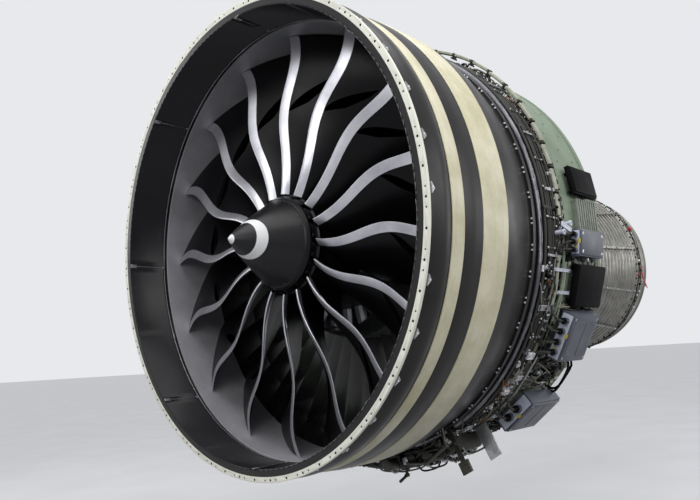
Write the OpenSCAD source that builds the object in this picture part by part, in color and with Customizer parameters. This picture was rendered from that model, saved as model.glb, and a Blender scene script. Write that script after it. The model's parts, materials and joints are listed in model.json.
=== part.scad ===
// High bypass turbofan, hung by its mounts. The engine's axis is Y, the fan faces -Y,
// and the origin is the centre of the inlet flange's front face.

/* [Fan] */
// Radius over the fan blade tips
fan_radius = 1694; // [1640:1:1750]
// Running gap between the blade tips and the shroud
tip_gap = 6; // [4:0.5:10]
// Radius where the blade leaves the hub platforms at its trailing edge
root_radius = 460; // [450:1:475]
// Chord of a fan blade at its root
root_chord = 460; // [440:1:470]
// Chord of a fan blade at its tip
tip_chord = 750; // [660:1:770]
// Stagger of a fan blade at its tip, from the axis
tip_stagger = 63; // [58:1:66]
// Greatest thickness of a fan blade at its root
root_thickness = 48; // [40:1:50]
// Part of the chord that the metal edge guard covers
guard_share = 0.12; // [0.10:0.01:0.16]
// Clearance all round a dovetail in its slot
dovetail_gap = 0.2; // [0.1:0.05:0.4]

/* [Fan case] */
// Length of the fan case, from the inlet flange to the bolted flange
case_length = 1282; // [1260:1:1320]
// Depth of the inlet flange's white face
flange_face = 43; // [40:1:60]
// Thickness of the inlet flange
flange_thick = 20; // [16:1:26]
// Diameter of the inlet flange's bolt holes
flange_hole = 14; // [10:0.5:18]
// Length of the acoustic panels in the inlet
panel_length = 313; // [290:1:330]
// Thickness of the panels, the shroud and the aft liner
liner_thick = 12; // [10:0.5:14]
// Axial length of the grey abradable shroud
shroud_length = 545; // [500:1:560]
// Height of the bulge in the case's skin
bulge_height = 35; // [25:1:40]
// Width of the forward wrap band
band_forward_width = 126; // [100:1:130]
// Width of the aft wrap band
band_aft_width = 292; // [240:1:296]

/* [Aft barrel and frame] */
// Length of the frame's outer ring behind the bolted flange
frame_length = 380; // [370:1:420]
// Length of the primer green barrel
barrel_length = 643; // [600:1:700]
// Wall of the barrel
barrel_wall = 14; // [8:1:20]
// Chord of an outlet guide vane
guide_chord = 360; // [300:1:380]
// Radius of the bypass duct's inner wall at the guide vanes
duct_inner = 760; // [740:1:780]

/* [Core] */
// Outer radius of the low pressure shaft
low_shaft_r = 85; // [80:1:90]
// Outer radius of the core spool's hollow shaft
core_shaft_r = 130; // [125:1:140]
// Radial clearance of a shaft in its bearings
bearing_gap = 0.05; // [0.02:0.01:0.1]
// Running gap at the tips of the core's blades
core_gap = 4; // [3:0.5:6]
// Outer radius of the compressor case
compressor_case_r = 500; // [495:1:510]
// Outer radius of the low turbine case at its rear
turbine_case_r = 968; // [950:1:985]
// Radius of the clearance tubes' section
clearance_tube_r = 7; // [5:0.5:9]

/* [Mounts] */
// Bolt circle of the forward mount pad
mount_pitch = 150; // [130:1:160]
// Diameter of the forward mount's bolt holes
mount_hole = 26; // [20:1:30]
// Diameter of the aft mount's pin hole
aft_pin_hole = 26; // [20:1:30]

/* [Hidden] */
$fn = 96;
blade_count = 16;
blade_phase = 55.4;
pitch_angle = 360 / blade_count;
near = 0.3;
// Gap under a flat foot that stands on a round case
foot_gap = 0.3;

shroud_r = fan_radius + tip_gap;
panel_r = shroud_r + 2;
case_inner_r = panel_r + liner_thick;
flange_inner_r = case_inner_r + 43;
flange_r = flange_inner_r + flange_face;
flange_pitch_r = flange_inner_r + 0.54 * flange_face;
shroud_y = 360;
shroud_end = shroud_y + shroud_length;
frame_end = case_length + frame_length;
barrel_y = frame_end + 5;
barrel_end = barrel_y + barrel_length;
barrel_front_r = shroud_r + 78;
barrel_rear_r = shroud_r + 47;
frame_r = shroud_r + 22;
rib_r = shroud_r + 50;
core_bore_r = low_shaft_r + 15;
// Fit of an inserted vane: at its foot, and at its outer end, where the seat curves
vane_seat = 0.1;
vane_lip = 0.6;
// Facets of the big rings, whose rims are cut by small holes
ring_facets = 192;

disk_r = 335;
disk_y = 385;
disk_end = 773;
hub_front_r = 374;
hub_rear_r = root_radius - 8;
hub_y = 348;
hub_end = 812;
root_stagger = 18;
neck_half = 19;
neck_shift = -14;
dovetail_y = (disk_y + disk_end) / 2;
// Length of a slot's cutter, long enough to leave the disk on both sides
slot_length = 620;

turbine_y = 4010;
turbine_end = 4935;
turbine_front_r = turbine_case_r - 156;
turbine_stages = 6;
stage_pitch = 150;
rear_frame_end = 5220;

// Section: helpers

// Turns what stands on +X round the engine's axis, from +X toward +Z.
module turned(a) {
    rotate([0, -a, 0]) children();
}

// A body of revolution about the engine's axis, from points [radius, station].
module revolved(points) {
    rotate([-90, 0, 0]) rotate_extrude() polygon(points);
}

module tube(r_out, r_in, y0, y1) {
    revolved([[r_in, y0], [r_out, y0], [r_out, y1], [r_in, y1]]);
}

// A torus round the engine's axis.
module hoop(r, y, section) {
    rotate([-90, 0, 0]) rotate_extrude() translate([r, y]) circle(r = section, $fn = 24);
}

// A radial post on +X.
module post(r, x0, x1, y, z = 0) {
    translate([x0, y, z]) rotate([0, 90, 0]) cylinder(r = r, h = x1 - x0, $fn = 24);
}

// A block on +X between two radii, centred at a station.
module block(x0, x1, y0, y1, width) {
    translate([x0, y0, -width / 2]) cube([x1 - x0, y1 - y0, width]);
}

// Outline of a vane, from its leading edge; a small one has one point a side, a big one two.
function vaneOutline(chord, thick, bow) = chord < 100
    ? [[0, -chord / 2], [bow + thick / 2, 0], [0, chord / 2], [bow - thick / 2, 0]]
    : [[0, -chord / 2],
        [bow * 0.8 + thick / 2, -chord * 0.22],
        [bow * 0.9 + thick / 2, chord * 0.12],
        [0, chord / 2],
        [bow * 0.9 - thick / 2, chord * 0.12],
        [bow * 0.8 - thick / 2, -chord * 0.22]];

// A row of prismatic vanes from radius r0 to r1.
module vaneRow(count, y, chord, thick, bow, stagger, r0, r1, phase = 0) {
    for (i = [0 : count - 1])
        turned(360 * i / count + phase)
            translate([r0, y, 0]) rotate([0, 90, 0])
                linear_extrude(height = r1 - r0)
                    rotate([0, 0, stagger]) polygon(vaneOutline(chord, thick, bow));
}

// A ring cut by two planes through the axis.
module sector(a0, a1, reach, y0, y1) {
    mid = (a0 + a1) / 2;
    half = (a1 - a0) / 2;
    turned(mid) translate([0, y0, 0]) rotate([-90, 0, 0])
        linear_extrude(height = y1 - y0)
            polygon([[0, 0], [reach, reach * tan(half)], [reach, -reach * tan(half)]]);
}

// Section: fan blade, lofted through sections on cylinders

function spanOf(r) = max(0, (r - root_radius) / (fan_radius - root_radius));
function leadAngle(u) = 10.7 - 2.1 * cos(468 * u - 30);
function leadStation(u) = 360 + 125 * pow(u, 1.5);
function staggerOf(u) = root_stagger + (tip_stagger - root_stagger) * pow(u, 0.6);
function chordOf(u) = root_chord + (tip_chord - root_chord) * pow(u, 0.8);
function thickOf(u) = 12 + (root_thickness - 12) * pow(1 - u, 1.6);
function camberOf(u) = 0.015 + 0.055 * pow(1 - u, 1.5);
// Half thickness along the chord, as a share of the greatest thickness
function halfShare(c) = 5 * (0.2969 * sqrt(c) - 0.126 * c - 0.3516 * c * c
    + 0.2843 * c * c * c - 0.1015 * c * c * c * c);

// A point of the section at radius r: c along the chord, side +1 suction, -1 pressure.
function sectionPoint(r, c, side, grow = 0) =
    let (rr = max(r, root_radius), u = spanOf(r), chord = chordOf(u), st = staggerOf(u))
    let (half = max(1.2, thickOf(u) * halfShare(c)) * (c == 0 ? 0 : 1) + grow)
    let (d = camberOf(u) * chord * 4 * c * (1 - c) + side * half)
    [rr * sin(leadAngle(u)) - chord * c * sin(st) - d * cos(st),
        leadStation(u) + chord * c * cos(st) - d * sin(st)];
function onCylinder(r, p) = [sqrt(r * r - p[0] * p[0]), p[1], p[0]];

// The dovetail's neck, a straight strip under the root that ends short of the disk's faces.
neck_length = (disk_end - disk_y - 2 * near - 2 * neck_half * sin(root_stagger)) / cos(root_stagger);
function neckPoint(c, side) =
    let (along = (c - 0.5) * neck_length)
    [neck_shift - along * sin(root_stagger) - side * (neck_half - 1) * cos(root_stagger),
        dovetail_y + along * cos(root_stagger) - side * (neck_half - 1) * sin(root_stagger)];

blade_shares = [guard_share, 0.25, 0.42, 0.6, 0.8, 1];
guard_shares = [guard_share - 0.001, 0.06, 0.02];
blade_stations = [372, root_radius, 560, 680, 800, 930, 1060, 1200, 1340, 1480, 1600, fan_radius];

function neckRing(r) = concat(
    [for (c = blade_shares) onCylinder(r, neckPoint((c - guard_share) / (1 - guard_share), 1))],
    [for (i = [len(blade_shares) - 1 : -1 : 0])
        onCylinder(r, neckPoint((blade_shares[i] - guard_share) / (1 - guard_share), -1))]);
function bladeRing(r) = concat(
    [for (c = blade_shares) onCylinder(r, sectionPoint(r, c, 1))],
    [for (i = [len(blade_shares) - 1 : -1 : 0]) onCylinder(r, sectionPoint(r, blade_shares[i], -1))]);
function guardRing(r) = concat(
    [for (c = guard_shares) onCylinder(r, sectionPoint(r, c, 1))],
    [onCylinder(r, sectionPoint(r, 0, 0))],
    [for (i = [len(guard_shares) - 1 : -1 : 0]) onCylinder(r, sectionPoint(r, guard_shares[i], -1))]);

// A closed skin over rings that all have the same number of points.
module loft(rings) {
    n = len(rings[0]);
    m = len(rings);
    polyhedron(
        points = [for (ring = rings) each ring],
        faces = concat(
            [for (k = [0 : m - 2]) for (i = [0 : n - 1])
                [k * n + i, (k + 1) * n + i, k * n + (i + 1) % n]],
            [for (k = [0 : m - 2]) for (i = [0 : n - 1])
                [k * n + (i + 1) % n, (k + 1) * n + i, (k + 1) * n + (i + 1) % n]],
            [for (i = [1 : n - 2]) [0, i, i + 1]],
            [for (i = [1 : n - 2]) [(m - 1) * n, (m - 1) * n + i + 1, (m - 1) * n + i]]));
}

// The dovetail under the neck, grown for its slot.
module dovetail(grow, length) {
    translate([0, dovetail_y, neck_shift]) rotate([-root_stagger, 0, 0]) rotate([-90, 0, 0])
        translate([0, 0, -length / 2]) linear_extrude(height = length)
            polygon([[250 - grow, -29 - grow], [262, -34 - grow], [276, -34 - grow],
                [300, -neck_half - grow], [grow > 0 ? 400 : 322, -neck_half - grow],
                [grow > 0 ? 400 : 322, neck_half + grow], [300, neck_half + grow],
                [276, 34 + grow], [262, 34 + grow], [250 - grow, 29 + grow]]);
}

module fanBlade(index) {
    color([0.07, 0.07, 0.08]) turned(blade_phase + index * pitch_angle) union() {
        loft(concat([neckRing(312), neckRing(338)], [for (r = blade_stations) bladeRing(r)]));
        // The dovetail's ends are cut square to the axis, just inside the disk's faces
        intersection() {
            dovetail(0, slot_length);
            block(240, 330, disk_y + near, disk_end - near, 400);
        }
    }
}

module blade_edge_guards() {
    color([0.74, 0.74, 0.77]) for (i = [0 : blade_count - 1])
        turned(blade_phase + i * pitch_angle) loft([for (r = blade_stations) guardRing(r)]);
}

// Section: fan hub

module spinner() {
    tip_y = -140;
    base_y = 300;
    base_r = 340;
    wall = 6;
    color([0.05, 0.05, 0.06]) revolved(concat(
        [for (i = [0 : 8]) let (t = i / 8) [base_r * pow(t, 0.86), tip_y + (base_y - tip_y) * t]],
        [[base_r, base_y], [250, base_y], [250, base_y - 8], [base_r - wall - 24, base_y - 8]],
        [for (i = [6 : -1 : 1]) let (t = i / 8)
            [max(base_r * pow(t, 0.86) - wall * 1.4, 2), tip_y + (base_y - tip_y) * t]],
        [[0, tip_y + 24]]));
}

module spinner_rear_ring() {
    bolt_r = 320;
    color([0.12, 0.12, 0.13]) difference() {
        revolved([[250, 300], [340, 300], [hub_front_r, hub_y - 2], [hub_front_r - 8, hub_y - 2],
            [hub_front_r - 15, disk_y - 12], [hub_front_r - 40, disk_y], [240, disk_y],
            [240, disk_y - 12], [hub_front_r - 60, disk_y - 14], [322, 316], [250, 316]]);
        for (i = [0 : 31]) turned(i * 360 / 32) translate([266, 290, 0])
            rotate([-90, 0, 0]) cylinder(d = 9, h = 40);
    }
}

module fan_disk() {
    color([0.45, 0.46, 0.48]) difference() {
        revolved([[110, disk_y + 60], [160, disk_y + 60], [175, disk_y + 110], [215, disk_y + 40],
            [225, disk_y], [disk_r, disk_y], [disk_r, disk_end], [225, disk_end],
            [200, disk_end], [200, disk_end - 40], [175, disk_end - 110], [160, disk_end - 60],
            [110, disk_end - 60]]);
        for (i = [0 : blade_count - 1])
            turned(blade_phase + i * pitch_angle) dovetail(dovetail_gap, slot_length);
    }
}

// Outline of the gap between platforms that a blade's root passes through.
module rootGap(grow) {
    union() {
        polygon(concat(
            [for (c = [0.02, 0.1, 0.2, 0.35, 0.5, 0.65, 0.8, 0.9, 1])
                let (p = sectionPoint(root_radius, c, 1, grow)) [-p[0], p[1]]],
            [for (c = [1, 0.9, 0.8, 0.65, 0.5, 0.35, 0.2, 0.1, 0.02])
                let (p = sectionPoint(root_radius, c, -1, grow)) [-p[0], p[1]]]));
        translate([-neck_shift, dovetail_y]) rotate([0, 0, root_stagger * -1])
            square([2 * neck_half + 2 * grow, 560], center = true);
    }
}

module blade_platforms() {
    color([0.10, 0.10, 0.11]) difference() {
        union() {
            revolved([[hub_front_r, hub_y], [hub_rear_r, hub_end], [hub_rear_r - 7, hub_end],
                [hub_front_r - 7, hub_y]]);
            tube(392, disk_r + near, 402, 414);
            tube(436, disk_r + near, 740, 752);
        }
        for (i = [0 : blade_count - 1]) turned(blade_phase + i * pitch_angle)
            translate([300, 0, 0]) rotate([0, 90, 0]) linear_extrude(height = 260) rootGap(2);
    }
}

// Section: low pressure spool

module low_shaft() {
    bore = low_shaft_r - 30;
    color([0.55, 0.56, 0.58]) difference() {
        revolved([[bore, disk_end], [200, disk_end], [200, disk_end + 24], [130, disk_end + 60],
            [low_shaft_r, disk_end + 130], [low_shaft_r, 5060], [bore, 5060]]);
        for (i = [0 : 23]) turned(i * 15) translate([175, disk_end - 1, 0])
            rotate([-90, 0, 0]) cylinder(d = 14, h = 60);
    }
}

booster_stations = [1030, 1185, 1340];
booster_hub = [504, 504, 500];
booster_out = [668, 648, 628];
booster_stators = [1108, 1262, 1418];
booster_case_r = [666, 648, 624];

module booster_rotor() {
    color([0.52, 0.53, 0.55]) union() {
        revolved([[226, disk_end], [300, disk_end], [312, disk_end + 16], [454, 818], [496, 965],
            [504, 1000], [504, 1215], [500, 1310], [500, 1372], [498, 1440], [488, 1440], [492, 1100],
            [484, 968], [440, 830], [300, disk_end + 30], [226, disk_end + 20]]);
        for (k = [0 : 2])
            vaneRow(24, booster_stations[k], 66, 7, 7, 38, booster_hub[k] + vane_seat,
                booster_out[k] - core_gap, k * 3);
    }
}

function turbineInner(y) = turbine_front_r - 12
    + (turbine_case_r - turbine_front_r) * (y - turbine_y) / (turbine_end - turbine_y);
// Outer skin of the low turbine case
function caseSkin(y) = turbine_front_r
    + (turbine_case_r - turbine_front_r) * (y - turbine_y - 18) / (turbine_end - turbine_y - 36);
function rotorStation(k) = turbine_y + 98 + stage_pitch * k;
function nozzleStation(k) = turbine_y + 24 + stage_pitch * k;
turbine_drum_r = 600;
turbine_tip_gap = core_gap + 5;

module low_turbine_rotor() {
    color([0.50, 0.47, 0.44]) union() {
        tube(turbine_drum_r, turbine_drum_r - 16, rotorStation(0) - 34, rotorStation(5) + 34);
        for (k = [0 : turbine_stages - 1]) {
            tube(turbine_drum_r + 14, turbine_drum_r - 10, rotorStation(k) - 34, rotorStation(k) + 34);
            vaneRow(22, rotorStation(k), 50, 6, 8, -30, turbine_drum_r + 14 + vane_seat,
                turbineInner(rotorStation(k)) - turbine_tip_gap, k * 4);
        }
        revolved([[low_shaft_r + near, rotorStation(3) - 60], [low_shaft_r + 30, rotorStation(3) - 60],
            [low_shaft_r + 40, rotorStation(3) - 20], [turbine_drum_r - 40, rotorStation(3) - 8],
            [turbine_drum_r - 8, rotorStation(3) - 26], [turbine_drum_r - 8, rotorStation(3) + 26],
            [turbine_drum_r - 40, rotorStation(3) + 8], [low_shaft_r + 40, rotorStation(3) + 20],
            [low_shaft_r + 30, rotorStation(3) + 60], [low_shaft_r + near, rotorStation(3) + 60]]);
    }
}

// Section: core spool

compressor_y = 1850;
compressor_pitch = 98;
compressor_stages = 11;
spool_joint = 3200;
function compressorTip(y) = 452 - 78 * (y - compressor_y) / (compressor_stages * compressor_pitch);
function compressorHub(y) = 300 + 42 * (y - compressor_y) / (compressor_stages * compressor_pitch);
function stageStation(k) = compressor_y + compressor_pitch * k;
function statorStation(k) = stageStation(k) + compressor_pitch / 2;

module core_compressor_rotor() {
    last = stageStation(compressor_stages - 1) + 30;
    color([0.56, 0.57, 0.59]) union() {
        revolved(concat(
            [[core_bore_r, 1600], [core_shaft_r, 1600], [core_shaft_r, 1780]],
            [for (k = [0 : compressor_stages - 1]) let (y = stageStation(k))
                each [[compressorHub(y), y - 24], [compressorHub(y), y + 24]]],
            [[core_shaft_r + 20, last + 40], [core_shaft_r, last + 70], [core_shaft_r, spool_joint],
                [core_bore_r, spool_joint], [core_bore_r, last + 40],
                [compressorHub(last) - 24, last - 16],
                [compressorHub(compressor_y) - 14, compressor_y - 20], [core_bore_r, 1790]]));
        revolved([[core_shaft_r - 4, 1612], [core_shaft_r + 42, 1612], [core_shaft_r + 30, 1624],
            [core_shaft_r - 4, 1630]]);
        for (k = [0 : compressor_stages - 1])
            vaneRow(14, stageStation(k), 44 - 2 * k, 5, 4, 42,
                compressorHub(stageStation(k)) + vane_seat,
                compressorTip(stageStation(k)) - core_gap, k * 5);
    }
}

module core_turbine_rotor() {
    color([0.54, 0.49, 0.45]) union() {
        tube(core_shaft_r, core_bore_r, spool_joint, 3830);
        for (y = core_disks) {
            revolved([[core_shaft_r - 4, y - 34], [core_shaft_r + 20, y - 34], [180, y - 10],
                [345, y - 8], [360, y - 24], [386, y - 24], [386, y + 24], [360, y + 24],
                [345, y + 8], [180, y + 10], [core_shaft_r + 20, y + 34], [core_shaft_r - 4, y + 34]]);
            vaneRow(22, y, 42, 9, 9, -34, 386 + vane_seat, core_turbine_tip_r - core_gap);
        }
        tube(362, 346, core_disks[0] + 20, core_disks[1] - 20);
    }
}

// Section: tower shaft and variable vane rings

tower_y = 1652;
tower_angle = -90;

module radial_drive_shaft() {
    shaft_r = 16;
    color([0.60, 0.60, 0.62]) turned(tower_angle) union() {
        post(shaft_r, 178, shroud_r + 150, tower_y);
        translate([178, tower_y, 0]) rotate([0, 90, 0]) cylinder(r1 = 22, r2 = 34, h = 14);
    }
}

unison_stations = [1900, 2010, 2120, 2230];

module unison_rings() {
    color([0.62, 0.62, 0.60]) union() {
        for (y = unison_stations) tube(compressor_case_r + 44, compressor_case_r + 30, y - 9, y + 9);
        for (a = [20, 140, 260]) turned(a)
            block(compressor_case_r + 38, compressor_case_r + 56, 1885, 2245, 26);
    }
}

// Section: fan case and its linings

band_forward_y = 237;
band_aft_y = 550;
band_seat_r = shroud_r + 86;
band_aft_seat_r = shroud_r + 98;

// Outer surface of the fan case, from the flange to the bolted flange.
function caseOutline() = concat(
    [[flange_inner_r, flange_thick], [flange_inner_r + 9, flange_thick], [flange_inner_r + 9, 48]],
    [for (i = [0 : 8]) let (t = i / 8)
        [flange_inner_r + 9 + bulge_height * pow(sin(t * 128), 1.2), 52 + 168 * t]],
    [[band_seat_r, band_forward_y - 10], [band_seat_r, band_forward_y + band_forward_width + 8]],
    [for (i = [0 : 4]) let (t = i / 4)
        [band_seat_r + 2 + 14 * sin(t * 90), band_forward_y + band_forward_width + 12 + 110 * t]],
    [[band_aft_seat_r + 5, band_aft_y - 4], [band_aft_seat_r, band_aft_y - 4],
        [band_aft_seat_r, band_aft_y + band_aft_width + 4],
        [band_aft_seat_r + 4, band_aft_y + band_aft_width + 4]],
    [for (i = [0 : 6]) let (t = i / 6)
        [case_inner_r + 13 + 74 * pow(cos(t * 90), 1.15), 880 + (case_length - 52 - 880) * t]],
    [[case_inner_r + 13, case_length - 20], [shroud_r + 45, case_length - 20],
        [shroud_r + 45, case_length]]);

// Everything inside the case's skin, for cutting what is seated on it.
module caseFill() {
    $fn = ring_facets;
    revolved(concat([[0, flange_thick]], caseOutline(), [[0, case_length]]));
}

module fan_case() {
    color([0.23, 0.23, 0.24]) revolved(concat(
        [[case_inner_r, 0], [flange_inner_r, 0]], caseOutline(), [[case_inner_r, case_length]]));
}

// White flange with bolt holes, singly and in threes.
module inlet_flange_ring() {
    color([0.91, 0.91, 0.86]) difference() {
        tube(flange_r, flange_inner_r, 0, flange_thick);
        for (i = [0 : 59]) turned(i * 6) translate([flange_pitch_r, -1, 0])
            rotate([-90, 0, 0]) cylinder(d = flange_hole, h = flange_thick + 2);
        for (i = [0 : 29], side = [-1, 1]) turned(i * 12 + side * 2)
            translate([flange_pitch_r, -1, 0])
                rotate([-90, 0, 0]) cylinder(d = flange_hole * 0.6, h = flange_thick + 2);
    }
}

module wrap_bands() {
    color([0.83, 0.81, 0.70]) union() {
        tube(band_seat_r + 9, band_seat_r, band_forward_y, band_forward_y + band_forward_width);
        tube(band_aft_seat_r + 10, band_aft_seat_r, band_aft_y, band_aft_y + band_aft_width);
    }
}

panel_count = 8;

module inlet_liner_panels() {
    color([0.08, 0.08, 0.09]) difference() {
        union() {
            tube(case_inner_r, panel_r, 0, panel_length);
            tube(case_inner_r, panel_r - 3, panel_length, panel_length + 8);
        }
        for (i = [0 : panel_count - 1]) turned(i * 360 / panel_count + 22)
            block(panel_r - 10, case_inner_r + 5, -1, panel_length, 4);
    }
}

module abradable_shroud() {
    color([0.56, 0.56, 0.57]) revolved([[shroud_r, shroud_y + 6], [shroud_r + 4, shroud_y],
        [case_inner_r, shroud_y], [case_inner_r, shroud_end], [shroud_r, shroud_end]]);
}

module aft_case_liner() {
    color([0.12, 0.12, 0.13]) tube(case_inner_r, panel_r, shroud_end + 4, case_length);
}

// Section: frame ring, guide vanes and barrel

module frame_outer_ring() {
    $fn = ring_facets;
    ribs = [case_length + 120, case_length + 190, case_length + 262];
    color([0.13, 0.13, 0.14]) difference() {
        revolved(concat(
            [[shroud_r, case_length], [shroud_r + 45, case_length], [shroud_r + 45, case_length + 16],
                [frame_r, case_length + 16]],
            [for (y = ribs) each [[frame_r, y], [rib_r, y], [rib_r, y + 12], [frame_r, y + 12]]],
            [[frame_r, frame_end - 16], [shroud_r + 70, frame_end - 16],
                [shroud_r + 70, frame_end], [shroud_r, frame_end]]));
        turned(tower_angle) post(30, shroud_r - 10, shroud_r + 90, tower_y);
    }
}

module polished_ring() {
    color([0.50, 0.50, 0.52]) revolved([[frame_r, case_length + 64], [frame_r + 34, case_length + 64],
        [frame_r + 40, case_length + 70], [frame_r + 40, case_length + 84],
        [frame_r + 34, case_length + 90], [frame_r, case_length + 90]]);
}

bolt_pairs = 56;

module flange_bolts() {
    color([0.66, 0.66, 0.68]) for (i = [0 : bolt_pairs - 1], side = [-0.6, 0.6])
        turned(i * 360 / bolt_pairs + side) translate([shroud_r + 37, case_length - 20 - 9, 0])
            rotate([-90, 0, 0]) cylinder(r = 7, h = 9, $fn = 24);
}

module outlet_guide_vanes() {
    color([0.10, 0.10, 0.12])
        vaneRow(42, case_length + 100, guide_chord, 16, 26, -12, duct_inner + vane_seat, shroud_r - 1);
}

module aft_barrel() {
    $fn = ring_facets;
    holes = 36;
    stiffener_y = barrel_y + 300;
    color([0.56, 0.64, 0.53]) difference() {
        union() {
            revolved([[barrel_front_r - barrel_wall, barrel_y], [barrel_front_r, barrel_y],
                [barrel_rear_r, barrel_end - 20], [barrel_rear_r + 8, barrel_end - 12],
                [barrel_rear_r + 8, barrel_end], [barrel_rear_r - barrel_wall, barrel_end]]);
            tube(barrel_front_r + 4, shroud_r, frame_end, barrel_y);
            tube(barrel_front_r - barrel_wall - 10, barrel_front_r - barrel_wall - 30,
                stiffener_y, stiffener_y + 8);
        }
        for (i = [0 : holes - 1]) turned(i * 360 / holes)
            post(5, barrel_rear_r - 40, barrel_rear_r + 40, barrel_end - 60);
        turned(tower_angle) post(30, shroud_r - 10, shroud_r + 90, tower_y);
    }
}

// Everything inside the barrel's skin, for cutting what is seated on it.
module barrelFill() {
    $fn = ring_facets;
    revolved([[0, frame_end - 16], [shroud_r + 70, frame_end - 16], [shroud_r + 70, frame_end],
        [barrel_front_r + 4, frame_end], [barrel_front_r + 4, barrel_y], [barrel_front_r, barrel_y],
        [barrel_rear_r, barrel_end - 20], [barrel_rear_r + 8, barrel_end - 12],
        [barrel_rear_r + 8, barrel_end], [0, barrel_end]]);
}

// Section: fan hub frame, splitter and booster case

module fan_hub_frame() {
    strut_count = 8;
    color([0.40, 0.41, 0.43]) difference() {
        union() {
            tube(duct_inner, duct_inner - 18, 1180, 1720);
            revolved([[611, 1482], [duct_inner - 10, 1482], [duct_inner - 10, 1496], [624, 1496],
                [560, 1600], [500, 1720], [478, 1790], [462, 1790], [484, 1716], [544, 1596]]);
            revolved([[486, 1452], [498, 1452], [470, 1540], [390, 1650], [312, 1760], [304, 1790],
                [290, 1790], [298, 1756], [376, 1644], [456, 1536]]);
            intersection() {
                vaneRow(strut_count, 1580, 130, 22, 0, 0, 340, 640, 11);
                revolved([[470, 1500], [610, 1500], [552, 1598], [521, 1660], [374, 1660],
                    [383, 1647], [463, 1538]]);
            }
            revolved([[126, 990], [138, 990], [146, 1050], [430, 1452], [490, 1470], [478, 1482],
                [420, 1466], [136, 1062], [126, 1040]]);
            tube(138, 126, 1040, 1345);
            revolved([[176, 1660], [200, 1660], [340, 1700], [350, 1714], [200, 1700], [176, 1700]]);
        }
        turned(tower_angle) post(26, 205, duct_inner + 20, tower_y);
        turned(tower_angle) post(38, 174, 215, tower_y);
    }
}

module splitter_nose() {
    color([0.46, 0.47, 0.49]) revolved([[690, 930], [700, 940], [730, 1010], [754, 1110],
        [duct_inner, 1180], [duct_inner - 14, 1180], [738, 1108], [706, 1014], [694, 985],
        [688, 985], [684, 940]]);
}

module booster_case() {
    seats = booster_stators;
    color([0.48, 0.49, 0.51])
        revolved([[684, 985.5], [694, 985.5], [680, 1100], [660, 1260], [640, 1400], [626, 1482],
            [612, 1482], [booster_case_r[2], seats[2] + 30], [booster_case_r[2], seats[2] - 30],
            [booster_case_r[1], seats[1] + 30], [booster_case_r[1], seats[1] - 30],
            [booster_case_r[0], seats[0] + 30], [booster_case_r[0], seats[0] - 30]]);
}

// Section: core cases

module core_compressor_case() {
    rear = 2950;
    waist_r = compressor_case_r - 72;
    color([0.47, 0.46, 0.43])
        revolved(concat(
            [[463, 1790], [compressor_case_r + 20, 1790], [compressor_case_r + 20, 1806],
                [compressor_case_r, 1806], [compressor_case_r, 2260], [waist_r, 2860],
                [waist_r, rear - 16], [compressor_case_r + 20, rear - 16],
                [compressor_case_r + 20, rear], [388, rear]],
            [for (k = [2 * compressor_stages - 2 : -1 : 0]) let (y = stageStation(k / 2))
                each [[compressorTip(y), y + 18], [compressorTip(y), y - 18]]]));
}

core_nozzles = [3448, 3552];
core_disks = [3490, 3610];
core_turbine_tip_r = 470;

// A row of fixed vanes between a ring that rides on them and the seat in a case.
module statorRow(count, y, chord, thick, bow, stagger, ring_r, ring_wall, half_width, case_r, phase) {
    vaneRow(count, y, chord, thick, bow, stagger, ring_r + vane_seat, case_r - vane_lip, phase);
    tube(ring_r, ring_r - ring_wall, y - half_width, y + half_width);
}

module stator_vanes() {
    color([0.55, 0.54, 0.52]) union() {
        for (k = [0 : 2])
            statorRow(20, booster_stators[k], 56, 6, 6, -20, 516, 8, 22, booster_case_r[k], k * 2);
        for (k = [0 : compressor_stages - 2]) {
            y = statorStation(k);
            statorRow(12, y, 34, 5, -4, -30, compressorHub(y) + 12, 9, 13, compressorTip(y), k * 3);
        }
        for (y = core_nozzles) statorRow(18, y, 36, 8, -8, 30, 394, 6, 18, core_turbine_tip_r, 0);
        for (k = [0 : turbine_stages - 1])
            statorRow(18, nozzleStation(k), 46, 7, -8, 24, turbine_drum_r + 24, 10, 20,
                turbineInner(nozzleStation(k)), k * 5);
        for (y = unison_stations, i = [0 : 11]) turned(i * 30)
            post(7, compressor_case_r + vane_seat, compressor_case_r + 29.5, y);
    }
}

module combustor_case() {
    y0 = 2950;
    turbine_joint = 3420;
    y1 = 3700;
    nozzles = 24;
    color([0.50, 0.45, 0.38]) difference() {
        union() {
            revolved([[500, y0], [520, y0], [520, y0 + 16], [505, y0 + 16], [505, turbine_joint - 16],
                [512, turbine_joint + 16], [512, y1 - 16], [530, y1 - 16], [530, y1],
                [core_turbine_tip_r, y1], [core_turbine_tip_r, turbine_joint],
                [492, turbine_joint - 16], [492, y0 + 30], [384, y0 + 30], [384, y0], [400, y0]]);
            revolved([[180, y0 + 34], [338, y0 + 24], [338, y0 + 34], [192, y0 + 46],
                [192, turbine_joint], [180, turbine_joint]]);
            vaneRow(12, y0 + 29, 40, 8, 0, 0, 332, 390);
        }
        for (i = [0 : nozzles - 1]) turned(i * 15 + 7.5) post(10, 440, 560, y0 + 90);
    }
}

module combustor_liner() {
    y0 = 3076;
    y1 = 3400;
    color([0.57, 0.50, 0.42]) difference() {
        union() {
            revolved([[292, y0], [444, y0], [450, y0 + 8], [450, y1], [443, y1], [443, y0 + 10],
                [299, y0 + 10], [299, y1], [292, y1]]);
            for (i = [0 : 5]) turned(i * 60) post(6, 446, 491.7, y0 + 60);
        }
        for (i = [0 : 23]) turned(i * 15 + 7.5) translate([370, y0 - 5, 0])
            rotate([-90, 0, 0]) cylinder(r = 17, h = 30);
        for (i = [0 : 23]) turned(i * 15) post(7, 280, 470, y0 + 150);
    }
}

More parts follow.
